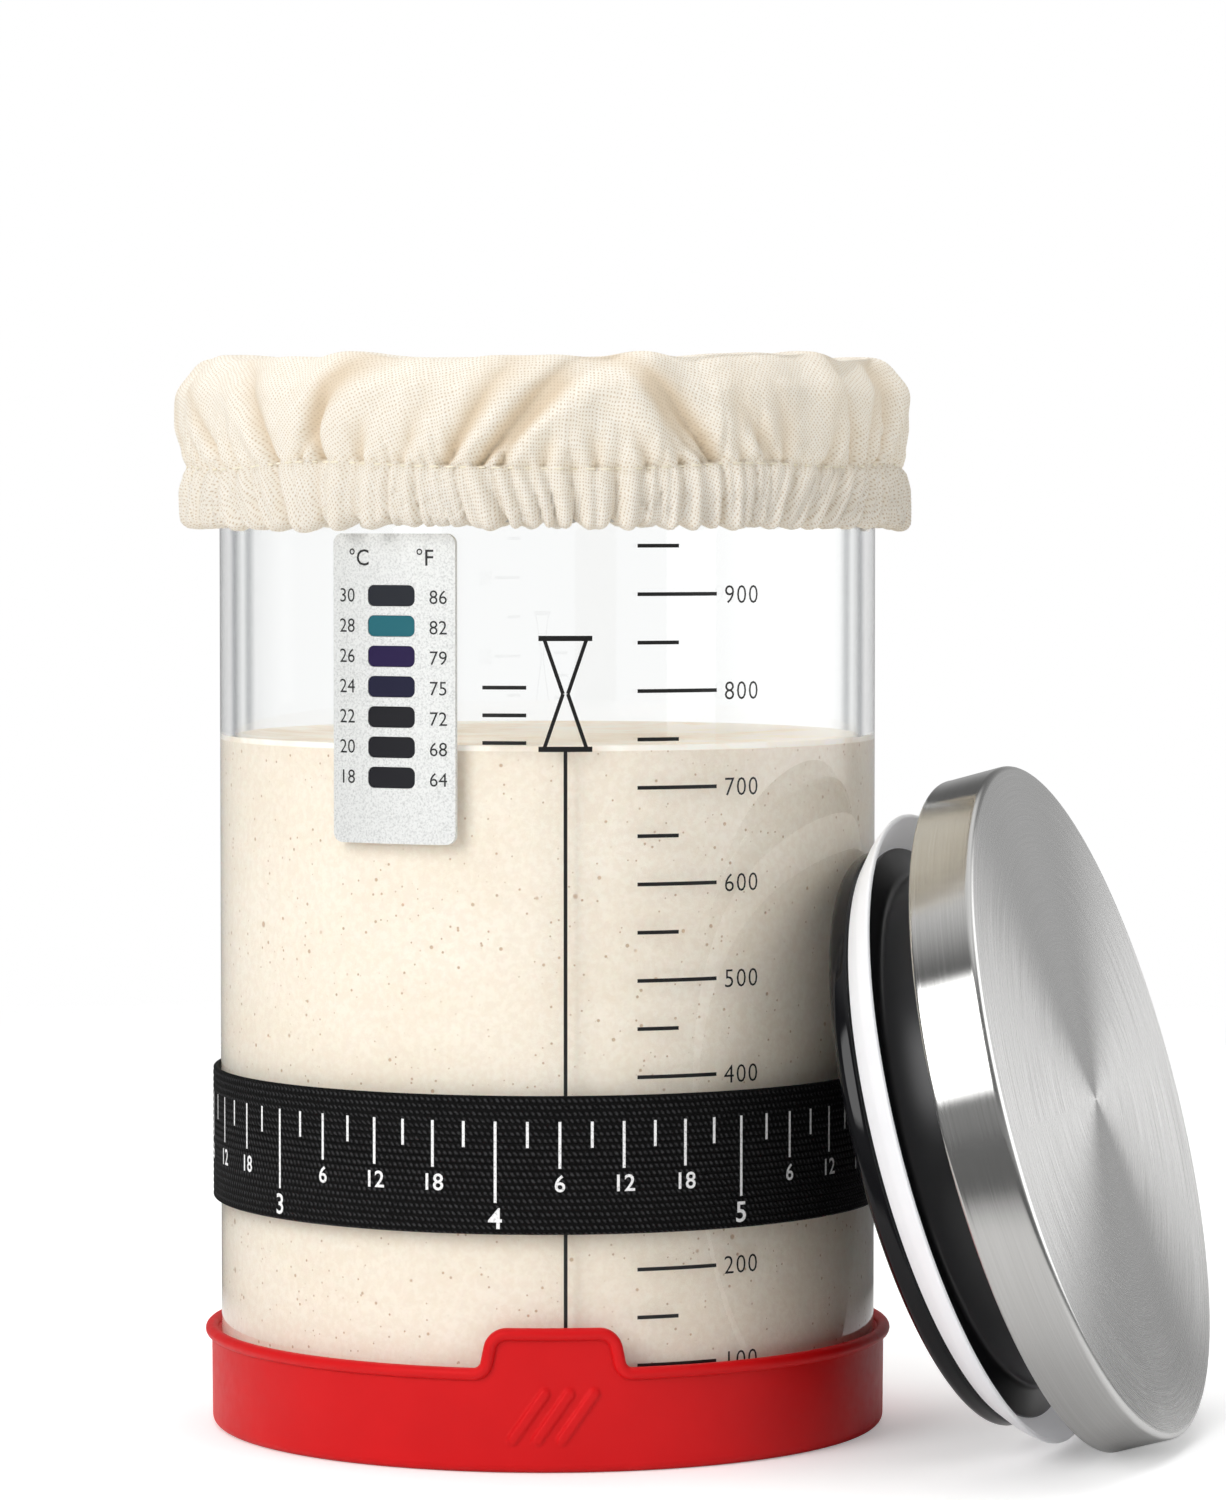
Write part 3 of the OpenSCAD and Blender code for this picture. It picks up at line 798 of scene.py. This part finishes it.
def stitch_group():
    """Small slanted stitches in rows, for a woven band: Height from 0 to 1."""
    group, place, end = map_group("elastic stitches", "Height")
    row = maths(group, "DIVIDE", split(group, place)["Y"], ROW)
    odd = maths(group, "MULTIPLY", maths(group, "FLOOR", row), 0.5)
    within = maths(group, "FRACT", row)
    along = maths(group, "MULTIPLY", split(group, place)["X"], STITCHES_PER_MM)
    slanted = maths(group, "ADD", along, maths(group, "MULTIPLY", within, 0.6))
    wave = maths(group, "ABSOLUTE", half_turns(group, "SINE", maths(group, "ADD", slanted, odd)))
    group.links.new(maths(group, "MULTIPLY", wave, half_turns(group, "SINE", within)), end.inputs[0])
    return group


STITCHES_PER_MM = 1.15
STITCHES = stitch_group()


def elastic_material(name, stitch_shade, stitch_sheen, depth):
    """Woven elastic, with painted shade between its stitches and a painted sheen on them."""
    material, tree, shader = new_material(name, Roughness=0.75, Specular_IOR_Level=0.12)
    weave = node(tree, "ShaderNodeGroup", {0: uv_coords(tree)}, node_tree=STITCHES).outputs[0]
    # The colour follows the stitches' height: painted shade in the hollows and a painted sheen on the tops.
    level = maths(tree, "MULTIPLY", weave, wander(tree, 2.2, 3, 1.6, 0.1))
    feed(shader, Base_Color=ramp(tree, level, [(0.4, stitch_shade), (0.95, stitch_sheen)]),
         Normal=bump(tree, weave, depth, 0.9))
    return material


black_weave = elastic_material("black_elastic", (0.003, 0.003, 0.003), (0.042, 0.042, 0.044), 0.25)
finish_piece(band, black_weave, "band", "band_weave", "time_band")

# %% Marks on the band
DAY_AZ = 42.0
FIRST_DAY = -7.9 - 3 * DAY_AZ
MARK_TOP = BAND_LOW + BAND_W - 3.7
MARK_W = 0.42
DAYS = 7
TICKS = 8
DAY_L = 11.8
SIX_HOURS_L = 6.8
THREE_HOURS_L = 3.8
BOLD = -0.012


def mottled_material(name, roughness, *colours, **settings):
    """A material whose colour wanders, with the arguments of mottle."""
    material, tree, shader = new_material(name, Roughness=roughness)
    feed(shader, Base_Color=mottle(tree, *colours, **settings))
    return material


marks = Ink(BAND_R + 0.05)
for tick in range(DAYS * TICKS + 1):
    angle = FIRST_DAY + tick * DAY_AZ / TICKS
    hour = tick % TICKS * 24 // TICKS
    size = DAY_L if hour == 0 else SIX_HOURS_L if hour % 6 == 0 else THREE_HOURS_L
    marks.line((0, -size), (0, 0), MARK_W, angle, MARK_TOP)
    if hour == 0 and tick < DAYS * TICKS:
        marks.text(str(tick // TICKS + 1), 3.1, angle, MARK_TOP - DAY_L - 2.2, thin=BOLD)
    elif hour and hour % 6 == 0:
        marks.text(str(hour), 2.5, angle, MARK_TOP - SIX_HOURS_L - 2.1, thin=BOLD)
white_print = mottled_material("white_print", 0.7, 3.0, (0.45,) * 3, (0.86,) * 3, 4, ends=(0.25, 0.5))
finish_piece(marks.build("band_marks"), white_print, "band", "cover_elastic")


# %% Seam at the back of the band
def stitches(name, radius, angle, height, length, thick):
    """Threads round the jar as small tubes with tapered ends, one for each angle, in one mesh."""
    count = len(angle)
    ring = circle(6)
    t = np.linspace(-1, 1, 7)
    girth = thick / 2 * np.sqrt(1 - t ** 2)
    run = (t * length / 2)[None, :, None]
    out = (girth[:, None] * np.cos(ring))[None]
    side = (girth[:, None] * np.sin(ring))[None]
    r = np.broadcast_to(radius, (count,))[:, None, None] + out
    z = np.broadcast_to(height, (count,))[:, None, None] + side
    turn = np.asarray(angle)[:, None, None] + run / r
    points = round_jar(r, turn, z).reshape(count, -1, 3)
    quads, _, _ = grid_faces(len(t), len(ring), wrap_columns=True)
    faces = (quads[None, :, ::-1] + (np.arange(count) * points.shape[1])[:, None, None]).reshape(-1, 4)
    return add_object(name, points.reshape(-1, 3), faces)


OVERLAP = 12.0
SEAM_SIDE = 3.0
overlap_s = np.linspace(-OVERLAP / 2, OVERLAP / 2, 40)
overlap_edge = np.clip((OVERLAP / 2 - np.abs(overlap_s)) / 0.6, 0, 1) ** 0.5
overlap_r = BAND_R - 0.15 + 0.95 * overlap_edge[None, :] - rounding[::4, None] * 0.9
overlap_points = round_jar(overlap_r, math.pi + overlap_s[None, :] / BAND_R, front[::4, 1][:, None])
overlap = surface("band_overlap", overlap_points, overlap_s, across[::4] * BAND_W)
finish_piece(overlap, black_weave, "band", "band_weave")
seam_angle = math.pi + np.repeat([-SEAM_SIDE, SEAM_SIDE], 8) / BAND_R
seam_z = BAND_LOW + BAND_W * np.tile(np.arange(1, 9) / 9, 2)
seam = stitches("band_seam", BAND_R + 0.82, seam_angle, seam_z, 3.0, 0.42)
black_thread = mottled_material("black_thread", 0.5, 4.0, (0.01,) * 3, (0.05,) * 3)
finish_piece(seam, black_thread, "band", "band_thread", "band_stitching")

# %% [markdown]
# The cover is one sheet of linen. Its section runs from the middle of the top, over the rim, round
# the puff, down the hem and back up inside it as the lining. Three kinds of folds push it in and
# out: pinched gathers in the hem, which die out above the stitch line, single folds in the puff that
# lean to both sides, and a slow swell. All of them are periodic round the jar, so the sheet closes.

# %% Shape of the cover
HEM_Z = 137.0
STITCH_Z = 146.0
COVER_TOP = RIM_Z + 0.9
COLUMNS = 840
TOP_RUN = 44.0

turn = circle(COLUMNS)


def creases(count, seed, uneven):
    """Places round the jar, in radians, with uneven spaces between them. uneven is 0 to 1."""
    space = np.random.default_rng(seed).uniform(1 - uneven, 1 + uneven, count)
    return np.cumsum(space) / space.sum() * 2 * math.pi


def lobes(places, shift, power):
    """Round lobes between creases at these places: about -0.65 in a crease and 0.35 between two,
    and more where they stand far apart. shift moves the creases sideways, in radians."""
    count = len(places)
    knots = np.concatenate([places - 2 * math.pi, places, places + 2 * math.pi])
    phase = np.interp((turn[None, :] - shift) % (2 * math.pi), knots, np.arange(3 * count))
    width = np.diff(knots)[np.clip(phase.astype(int), 0, 3 * count - 2)] * count / (2 * math.pi)
    return (np.abs(np.sin(math.pi * phase)) ** power - 0.65) * width ** 0.8


def swell(turns, seed):
    """A slow wave round the jar from -1 to 1, made of a few whole-turn waves."""
    rng = np.random.default_rng(seed)
    parts = [np.sin(k * turn + rng.uniform(0, 6.28)) / math.sqrt(k) for k in turns]
    return (sum(parts) / sum(1 / math.sqrt(k) for k in turns))[None, :]


section = rounded_path([
    (0, COVER_TOP + 0.2, 0), (30, COVER_TOP + 0.4, 20), (JAR_R + 1.5, COVER_TOP + 0.5, 3.6),
    (JAR_R + 5.4, 157.2, 4.5), (JAR_R + 5.6, 151.5, 5), (JAR_R + 4.3, STITCH_Z, 2.5),
    (JAR_R + 5.2, 142.5, 3), (JAR_R + 4.9, HEM_Z + 0.3, 1.6), (JAR_R + 2.0, HEM_Z + 0.2, 1.0),
    (JAR_R + 0.45, HEM_Z + 3.0, 1.0), (JAR_R + 0.45, STITCH_Z - 1, 0)], steps=8)
reach = run_along(section)
even = np.concatenate([np.linspace(0, TOP_RUN, 18, endpoint=False), np.linspace(TOP_RUN, reach[-1], 100)])
base_r, base_z = (np.interp(even, reach, section[:, k])[:, None] for k in (0, 1))
bottom_at = reach[np.argmin(section[:, 1])]
falling = reach < bottom_at
stitch_at = np.interp(-STITCH_Z, -section[falling, 1], reach[falling])
s = even[:, None]
above = np.clip(stitch_at - s, 0, None)
below = np.clip((s - stitch_at) / (bottom_at - stitch_at), 0, 1)
inner = np.clip((s - bottom_at) / 3.0, 0, 1)
print("cover: a section of", len(even), "rows,", round(reach[-1]), "mm from the middle to the lining's end")

# %% Gathers of the hem
GATHERS = 82
FINE_GATHERS = 150
hem_slant = swell((3, 5, 8), 4) * 0.014 * np.clip(base_z - HEM_Z, 0, 12)
hem_lobes = lobes(creases(GATHERS, 3, 0.68), hem_slant, 0.7)
fine_lobes = lobes(creases(FINE_GATHERS, 8, 0.6), 1.4 * hem_slant, 0.9)
hem_depth = (below > 0) * (0.8 + 0.7 * below) * (1 - inner)
near_stitch = np.exp(-above / 4.2) * (below <= 0)
print("hem:", GATHERS, "gathers, with", FINE_GATHERS, "finer ones")

# %% Folds of the puff
FOLDS = 64
rng = np.random.default_rng(21)
fold_at = creases(FOLDS, 5, 0.75)[:, None, None]
lean = 0.7 * (0.62 + 0.38 * np.cos(fold_at)) * np.cos(4 * (fold_at + 0.35))
fold_slant = lean + rng.uniform(-0.3, 0.3, FOLDS)[:, None, None]
fold_long = rng.uniform(4, 19, FOLDS)[:, None, None]
fold_deep = rng.uniform(1.1, 2.9, FOLDS)[:, None, None] * np.clip(fold_long / 14, 0.45, 1.1)
fold_bend = rng.uniform(-0.03, 0.03, FOLDS)[:, None, None]
sideways = (turn[None, None, :] - fold_at + math.pi) % (2 * math.pi) - math.pi
sideways = sideways * JAR_R - fold_slant * above[None] - fold_bend * above[None] ** 2
fold_wide = 0.7 + 0.15 * above[None]
valley = np.exp(-np.abs(sideways / fold_wide) ** 1.4)
bank = np.exp(-((sideways - 2.1 * fold_wide * np.sign(fold_slant)) / (1.4 * fold_wide)) ** 2)
puff_folds = (fold_deep * (0.35 * bank - valley) * np.exp(-(above[None] / fold_long) ** 2.5)).sum(0)
calm = 1 - 0.75 * np.abs(np.sin(turn))[None, :] ** 24
puff_folds *= (below <= 0) * calm
print("puff:", FOLDS, "folds, the deepest", round(-puff_folds.min(), 1), "mm")

# %% Gathering the sheet
MOST_OUT = 1.6
puff = np.exp(-((above - 12) / 8) ** 2) * (below <= 0)
edge_top = np.exp(-((above - 22) / 6) ** 2) * (below <= 0)
wrinkles = swell((9, 13, 17), 11) + 0.6 * swell((21, 29), 12)
pulled_left = np.sin(turn)[None, :] * (0.4 + 0.8 * np.clip(above / 8, 0, 1)) * (inner <= 0)
out = (hem_depth * (1.25 * hem_lobes + 0.7 * fine_lobes)
       + near_stitch * (1.15 * hem_lobes + 0.45 * fine_lobes) + puff_folds
       + puff * (1.5 * wrinkles + 0.6 * swell((3, 4, 7), 2)) + edge_top * 0.9 * wrinkles - pulled_left)
out -= 0.6 * np.exp(-((s - stitch_at) / 0.6) ** 2)
out = np.where(out > 0, MOST_OUT * np.tanh(out / MOST_OUT), out)
share = np.clip(base_r / JAR_R - 0.8, 0, 0.2) * 5
cover_r = np.where(base_r > JAR_R + 0.3, np.maximum(base_r + out, JAR_R + 0.4), base_r + out * share)
cover_r = np.maximum(cover_r, 0)
hang = np.clip((s - stitch_at - 3) / 5, 0, 1) * (1 - np.clip((s - bottom_at - 1.5) / 3, 0, 1))
seam_sway = 0.9 * swell((4, 7, 9), 15) * np.exp(-((s - stitch_at) / 6) ** 2)
cover_z = base_z - hang * (1.45 * hem_lobes + 0.3 * fine_lobes + 0.35 * swell((5, 8, 11), 9)) + seam_sway
lip = np.exp(-((s - bottom_at - 2.2) / 1.1) ** 2)
cover_z += lip * (2.0 * hem_lobes - 0.5)
cover_z += edge_top * (0.5 * wrinkles + 0.6 * swell((2, 3, 5), 13)) + 0.3 * puff * wrinkles
roof = np.clip(1 - base_r / (JAR_R - 2), 0, 1) * (below <= 0)
cover_z += 0.5 * share * roof * wrinkles
cover_points = round_jar(cover_r, turn[None, :], cover_z)

# %% [markdown]
# Linen is a plain weave of uneven threads: each passes over one and under the next. The weave is a
# bump, and the gaps between threads are darker. Threads cross the flat round straight, so the map,
# which runs around and outward, is first turned into a place on that round. Creases get a darker
# tint, which stands for the shade of folds finer than the mesh.

# %% Plain weave
THREAD = 0.53
MAP_R = 60
WAVINESS = 0.45


def plain_weave_group():
    """Plain weave: Height of the threads, and Gap between them. The noise's colour less 0.5 moves
    the place by up to half a millimetre, so that no thread is straight."""
    group, place, end = map_group("plain weave", "Height", "Gap")
    uneven = node(group, "ShaderNodeTexNoise", {"Vector": place, "Scale": WAVINESS, "Detail": 3.0})
    moved = node(group, "ShaderNodeVectorMath", {0: uneven.outputs["Color"], 1: (0.5, 0.5, 0.5)},
                 operation="SUBTRACT").outputs[0]
    place = node(group, "ShaderNodeVectorMath", {0: place, 1: moved}, operation="ADD").outputs[0]
    place = node(group, "ShaderNodeVectorMath", {0: place, "Scale": 1 / THREAD},
                 operation="SCALE").outputs[0]
    x, y = split(group, place)["X"], split(group, place)["Y"]

    def thread(across, along, shift):
        """A thread's hump across its width, riding up and down along its length."""
        hump = maths(group, "ABSOLUTE", half_turns(group, "SINE", across))
        turn_over = maths(group, "ADD", maths(group, "ADD", along, maths(group, "FLOOR", across)), shift)
        ride = maths(group, "MULTIPLY_ADD", half_turns(group, "COSINE", turn_over), 0.3, 0.7)
        return hump, maths(group, "MULTIPLY", hump, ride)

    warp, warp_up = thread(x, y, 0.5)
    weft, weft_up = thread(y, x, 1.5)
    group.links.new(maths(group, "MAXIMUM", warp_up, weft_up), end.inputs["Height"])
    group.links.new(maths(group, "SUBTRACT", 1.0, maths(group, "MAXIMUM", warp, weft)), end.inputs["Gap"])
    return group


def flat_round(tree, coords):
    """The place on the flat round of cloth, for a map that runs around at MAP_R and out from the
    middle. Threads cross the round straight, so their direction changes around the jar."""
    around, outward = split(tree, coords)["X"], split(tree, coords)["Y"]
    angle = maths(tree, "DIVIDE", around, MAP_R)
    x, y = (maths(tree, "MULTIPLY", outward, maths(tree, kind, angle)) for kind in ("COSINE", "SINE"))
    return node(tree, "ShaderNodeCombineXYZ", {0: x, 1: y}).outputs[0]


# %% Linen
linen, tree, shader = new_material("cream_linen", Roughness=0.9, Specular_IOR_Level=0.2)
on_round = flat_round(tree, uv_coords(tree))
weave = node(tree, "ShaderNodeGroup", {0: on_round}, node_tree=plain_weave_group())
slubs = []
for scale in ((0.12, 1.9, 1), (1.9, 0.12, 1)):
    streaks = node(tree, "ShaderNodeMapping", {"Vector": on_round, "Scale": scale}).outputs[0]
    slubs.append(noise(tree, streaks, MM, 3))
slub = maths(tree, "MULTIPLY", maths(tree, "ADD", *slubs), 0.5)
tone = ramp(tree, slub, [(0.36, (0.93, 0.88, 0.79)), (0.62, (0.99, 0.965, 0.91))])
deep = node(tree, "ShaderNodeAttribute", attribute_name="tint").outputs["Fac"]
tone = mix_colour(tree, deep, tone, (0.72, 0.57, 0.41))
hole = ramp(tree, weave.outputs["Gap"], [(0.2, (0, 0, 0)), (0.65, (1, 1, 1))])
dents = maths(tree, "MULTIPLY", noise(tree, on_round, 0.11 * MM, 3), 14.0)
relief = maths(tree, "MULTIPLY_ADD", weave.outputs["Height"], 0.6, dents)
feed(shader, Base_Color=mix_colour(tree, hole, tone, (0.6, 0.47, 0.34)),
     Normal=bump(tree, relief, 0.1, 0.85))
mix_surface(tree, 0.3, shader, node(tree, "ShaderNodeBsdfTranslucent", {"Color": (0.9, 0.84, 0.72, 1)}))

# %% The cover's sheet, thread and elastic
shade = (0.8 * np.clip(-puff_folds / 1.8, 0, 1) + 0.5 * hem_depth * np.clip(-hem_lobes - 0.25, 0, 1)
         + 0.5 * lip + 0.35 * near_stitch * np.clip(-hem_lobes - 0.2, 0, 1))
cover = surface("cover_linen", cover_points, np.linspace(0, 2 * math.pi * MAP_R, COLUMNS + 1), even,
                wrap_columns=True, flip=True, tint=np.clip(shade + 0 * cover_r, 0, 0.8))
finish_piece(cover, linen, "cover", "cover_linen", "cover_cloth")

around = circle(150)
at_stitch = np.argmin(np.abs(even - stitch_at))
thread_r = np.interp(around, turn, cover_r[at_stitch], period=2 * math.pi)
thread_z = np.interp(around, turn, cover_z[at_stitch], period=2 * math.pi)
hem_thread = stitches("hem_thread", thread_r + 0.08, around, thread_z, 1.7, 0.34)
cream_thread = mottled_material("cream_thread", 0.7, 3.0, (0.82, 0.75, 0.58), (0.93, 0.88, 0.74))
finish_piece(hem_thread, cream_thread, "cover", "cover_thread", "cover_stitching")
repaint("cover_elastic", elastic_material("white_elastic", (0.6, 0.6, 0.58), (0.86, 0.86, 0.84), 0.1))

# %% [markdown]
# The lid's pieces are turned on a lathe with the base disc's outer face at height zero, then leaned
# on the glass as the CAD lid is: the disc's edge lies by the glass and the skirt stands on the table.

# %% Leaning the lid
LID_H = 25.4
SKIRT_T = 15.6
CAP_WALL = 0.8
CAP_R = JAR_R + 0.55 + CAP_WALL
CAP_BEAD = 0.55
DISC_R = 44.1
DISC_T = 3.4
DISC_EDGE = 1.5
LEAN = math.radians(15.4)
LID_TURN = math.radians(18.3)
LID_REACH = JAR_R + 0.3 + DISC_EDGE + (DISC_R - DISC_EDGE) * math.sin(LEAN) - DISC_EDGE * math.cos(LEAN)
LID_RISE = (CAP_R - CAP_BEAD) * math.cos(LEAN) - (SKIRT_T + CAP_BEAD) * math.sin(LEAN) + CAP_BEAD


def leaned(points):
    """Turns the lid's axis down to its lean, moves it out to the glass and turns it round the jar."""
    x, y, z = points[..., 0], points[..., 1], points[..., 2]
    tip = math.pi / 2 - LEAN
    out = x * math.cos(tip) + z * math.sin(tip) + LID_REACH
    up = -x * math.sin(tip) + z * math.cos(tip) + LID_RISE
    c, s = math.cos(LID_TURN), math.sin(LID_TURN)
    return np.stack([out * c + y * s, -out * s + y * c, up], -1)


# %% Lid pieces
FACE_ROUND = 0.9
FACE_STEPS = 24
cap_profile = rounded_path([
    (0, LID_H, 0), (CAP_R, LID_H, FACE_ROUND), (CAP_R, SKIRT_T + 2 * CAP_BEAD, 0.4),
    (CAP_R + 0.05, SKIRT_T, CAP_BEAD * 0.95), (CAP_R - 2 * CAP_BEAD, SKIRT_T, CAP_BEAD * 0.9),
    (CAP_R - 2 * CAP_BEAD, SKIRT_T + 1.2, 0.3), (CAP_R - CAP_WALL, SKIRT_T + 1.6, 0.3),
    (CAP_R - CAP_WALL, LID_H - CAP_WALL, 0.7), (0, LID_H - CAP_WALL, 0)], steps=6)
# Even rings on the face, in place of the profile's first two points, carry the highlight's fan.
face_r = np.linspace(0, CAP_R - 2.7, FACE_STEPS)
cap_profile = np.concatenate([np.stack([face_r, np.full(FACE_STEPS, LID_H)], 1), cap_profile[2:]])[::-1]
cap = lathe("steel_cap", cap_profile, 360, place=leaned)
FACE_AT = float(run_along(cap_profile)[-FACE_STEPS])
print("cap: its face starts", round(FACE_AT, 1), "mm along the profile from the inside")

NECK_R = 38.6
BOSS_R = NECK_R + 2.4
FLANGE_Z = DISC_T + 1.1
PLATE_Z = LID_H - 3.85
PLATE_R = CAP_R - CAP_WALL - 0.7
plug_profile = rounded_path([
    (0, DISC_T + 0.05, 0), (BOSS_R, DISC_T + 0.05, 0.2), (BOSS_R, FLANGE_Z, 0.2),
    (DISC_R - 0.5, FLANGE_Z, 0.3), (DISC_R - 0.35, FLANGE_Z + 0.7, 0.3),
    (NECK_R + 0.6, FLANGE_Z + 1.9, 1.0), (NECK_R, PLATE_Z, 0.8), (PLATE_R, PLATE_Z, 0.3),
    (PLATE_R, LID_H - CAP_WALL - 0.05, 0.3), (0, LID_H - CAP_WALL - 0.05, 0)], steps=6)
plug = lathe("black_plug", plug_profile, 300, place=leaned)

SEAL_R = INNER_R + 0.6
LIP_Z = DISC_T + 4.8
seal_profile = rounded_path([
    (BOSS_R + 0.1, DISC_T + 0.05, 0.2), (DISC_R, DISC_T + 0.05, 0.5), (DISC_R + 2.6, DISC_T + 2.4, 4.0),
    (SEAL_R, LIP_Z - 0.15, 0.3), (SEAL_R - 0.75, LIP_Z + 0.1, 0.3), (DISC_R + 1.9, DISC_T + 3.0, 4.0),
    (DISC_R - 0.2, DISC_T + 1.05, 0.4), (BOSS_R + 0.1, DISC_T + 1.05, 0.2)], closed=True, steps=6)
seal = lathe("seal_ring", seal_profile, 300, closed=True, place=leaned)

disc_profile = rounded_path([(0, 0, 0), (DISC_R, 0, DISC_EDGE), (DISC_R, DISC_T, DISC_EDGE * 0.6),
                             (0, DISC_T, 0)], steps=8)
disc = lathe("black_disc", disc_profile, 300, place=leaned)

# %% [markdown]
# Steel that was brushed on a lathe has fine rings, so its highlight spreads across them as a fan.
# That is anisotropy: the tangent comes from the map, and the rings are a stretched noise on it. The
# cap's face is rougher than its skirt, which is nearly polished, and the skirt's darker colour is
# painted shade on the same steel. The map's Y, which runs along the profile from the inside of the
# cap, tells the two apart.

# %% Finish of the lid
FACE_BLEND = (3.2, 1.8)

steel, tree, shader = new_material("brushed_steel", Metallic=1.0, Anisotropic=0.9,
                                   Anisotropic_Rotation=0.25)
streaks = node(tree, "ShaderNodeMapping", {"Vector": uv_coords(tree), "Scale": (0.03, 4.0, 1)}).outputs[0]
rings = noise(tree, streaks, MM, 4, 0.6)
on_face = between(tree, split(tree, uv_coords(tree))["Y"], *(FACE_AT - mm for mm in FACE_BLEND))
# A darker colour for the skirt: painted shade on the same steel as the face.
shaded_skirt_tone = ramp(tree, rings, [(0.25, (0.5, 0.497, 0.486)), (0.75, (0.6, 0.597, 0.587))])
face_tone = ramp(tree, rings, [(0.25, (0.63, 0.628, 0.621)), (0.75, (0.8, 0.796, 0.787))])
span = maths(tree, "MULTIPLY_ADD", on_face, 0.12, 0.08)
least = maths(tree, "MULTIPLY_ADD", on_face, 0.06, 0.11)
feed(shader, Base_Color=mix_colour(tree, on_face, shaded_skirt_tone, face_tone),
     Roughness=maths(tree, "MULTIPLY_ADD", rings, span, least), Normal=bump(tree, rings, 0.012, 0.45),
     Tangent=node(tree, "ShaderNodeTangent", direction_type="UV_MAP", uv_map="UVMap").outputs[0])
finish_piece(cap, steel, "lid", "lid_steel", "lid_cap")


# %% Black plastic and clear silicone
def plastic(name, colour, least, span, gloss):
    """Moulded black plastic with faint smears in its gloss."""
    material, tree, shader = new_material(name, Base_Color=colour, Specular_IOR_Level=gloss)
    feed(shader, Roughness=wander(tree, 0.12, 4, span, least),
         Normal=grain_bump(tree, 1.5, 2, 0.01, 0.3))
    return material


satin = plastic("satin_black", (0.012, 0.012, 0.013), 0.26, 0.12, 0.4)
glossy = plastic("gloss_black", (0.004, 0.004, 0.005), 0.05, 0.06, 0.25)
finish_piece(plug, satin, "lid", "plug_black", "lid_plug")
finish_piece(disc, glossy, "lid", "disc_black", "lid_disc")

# The seal's faint emission is a painted glow, for light that comes through the silicone from behind.
material, tree, shader = new_material("clear_silicone", IOR=1.41, Emission_Color=(1, 1, 1),
                                      Emission_Strength=0.12)
feed(shader, Base_Color=mottle(tree, 0.1, (0.93, 0.935, 0.95), (0.97, 0.975, 0.985)),
     Roughness=wander(tree, 0.8, 3, 0.15, 0.3))
mix_surface(tree, 0.35, shader, node(tree, "ShaderNodeBsdfTranslucent", {"Color": (0.95, 0.95, 0.97, 1)}))
finish_piece(seal, material, "lid", "seal_silicone", "lid_seal")
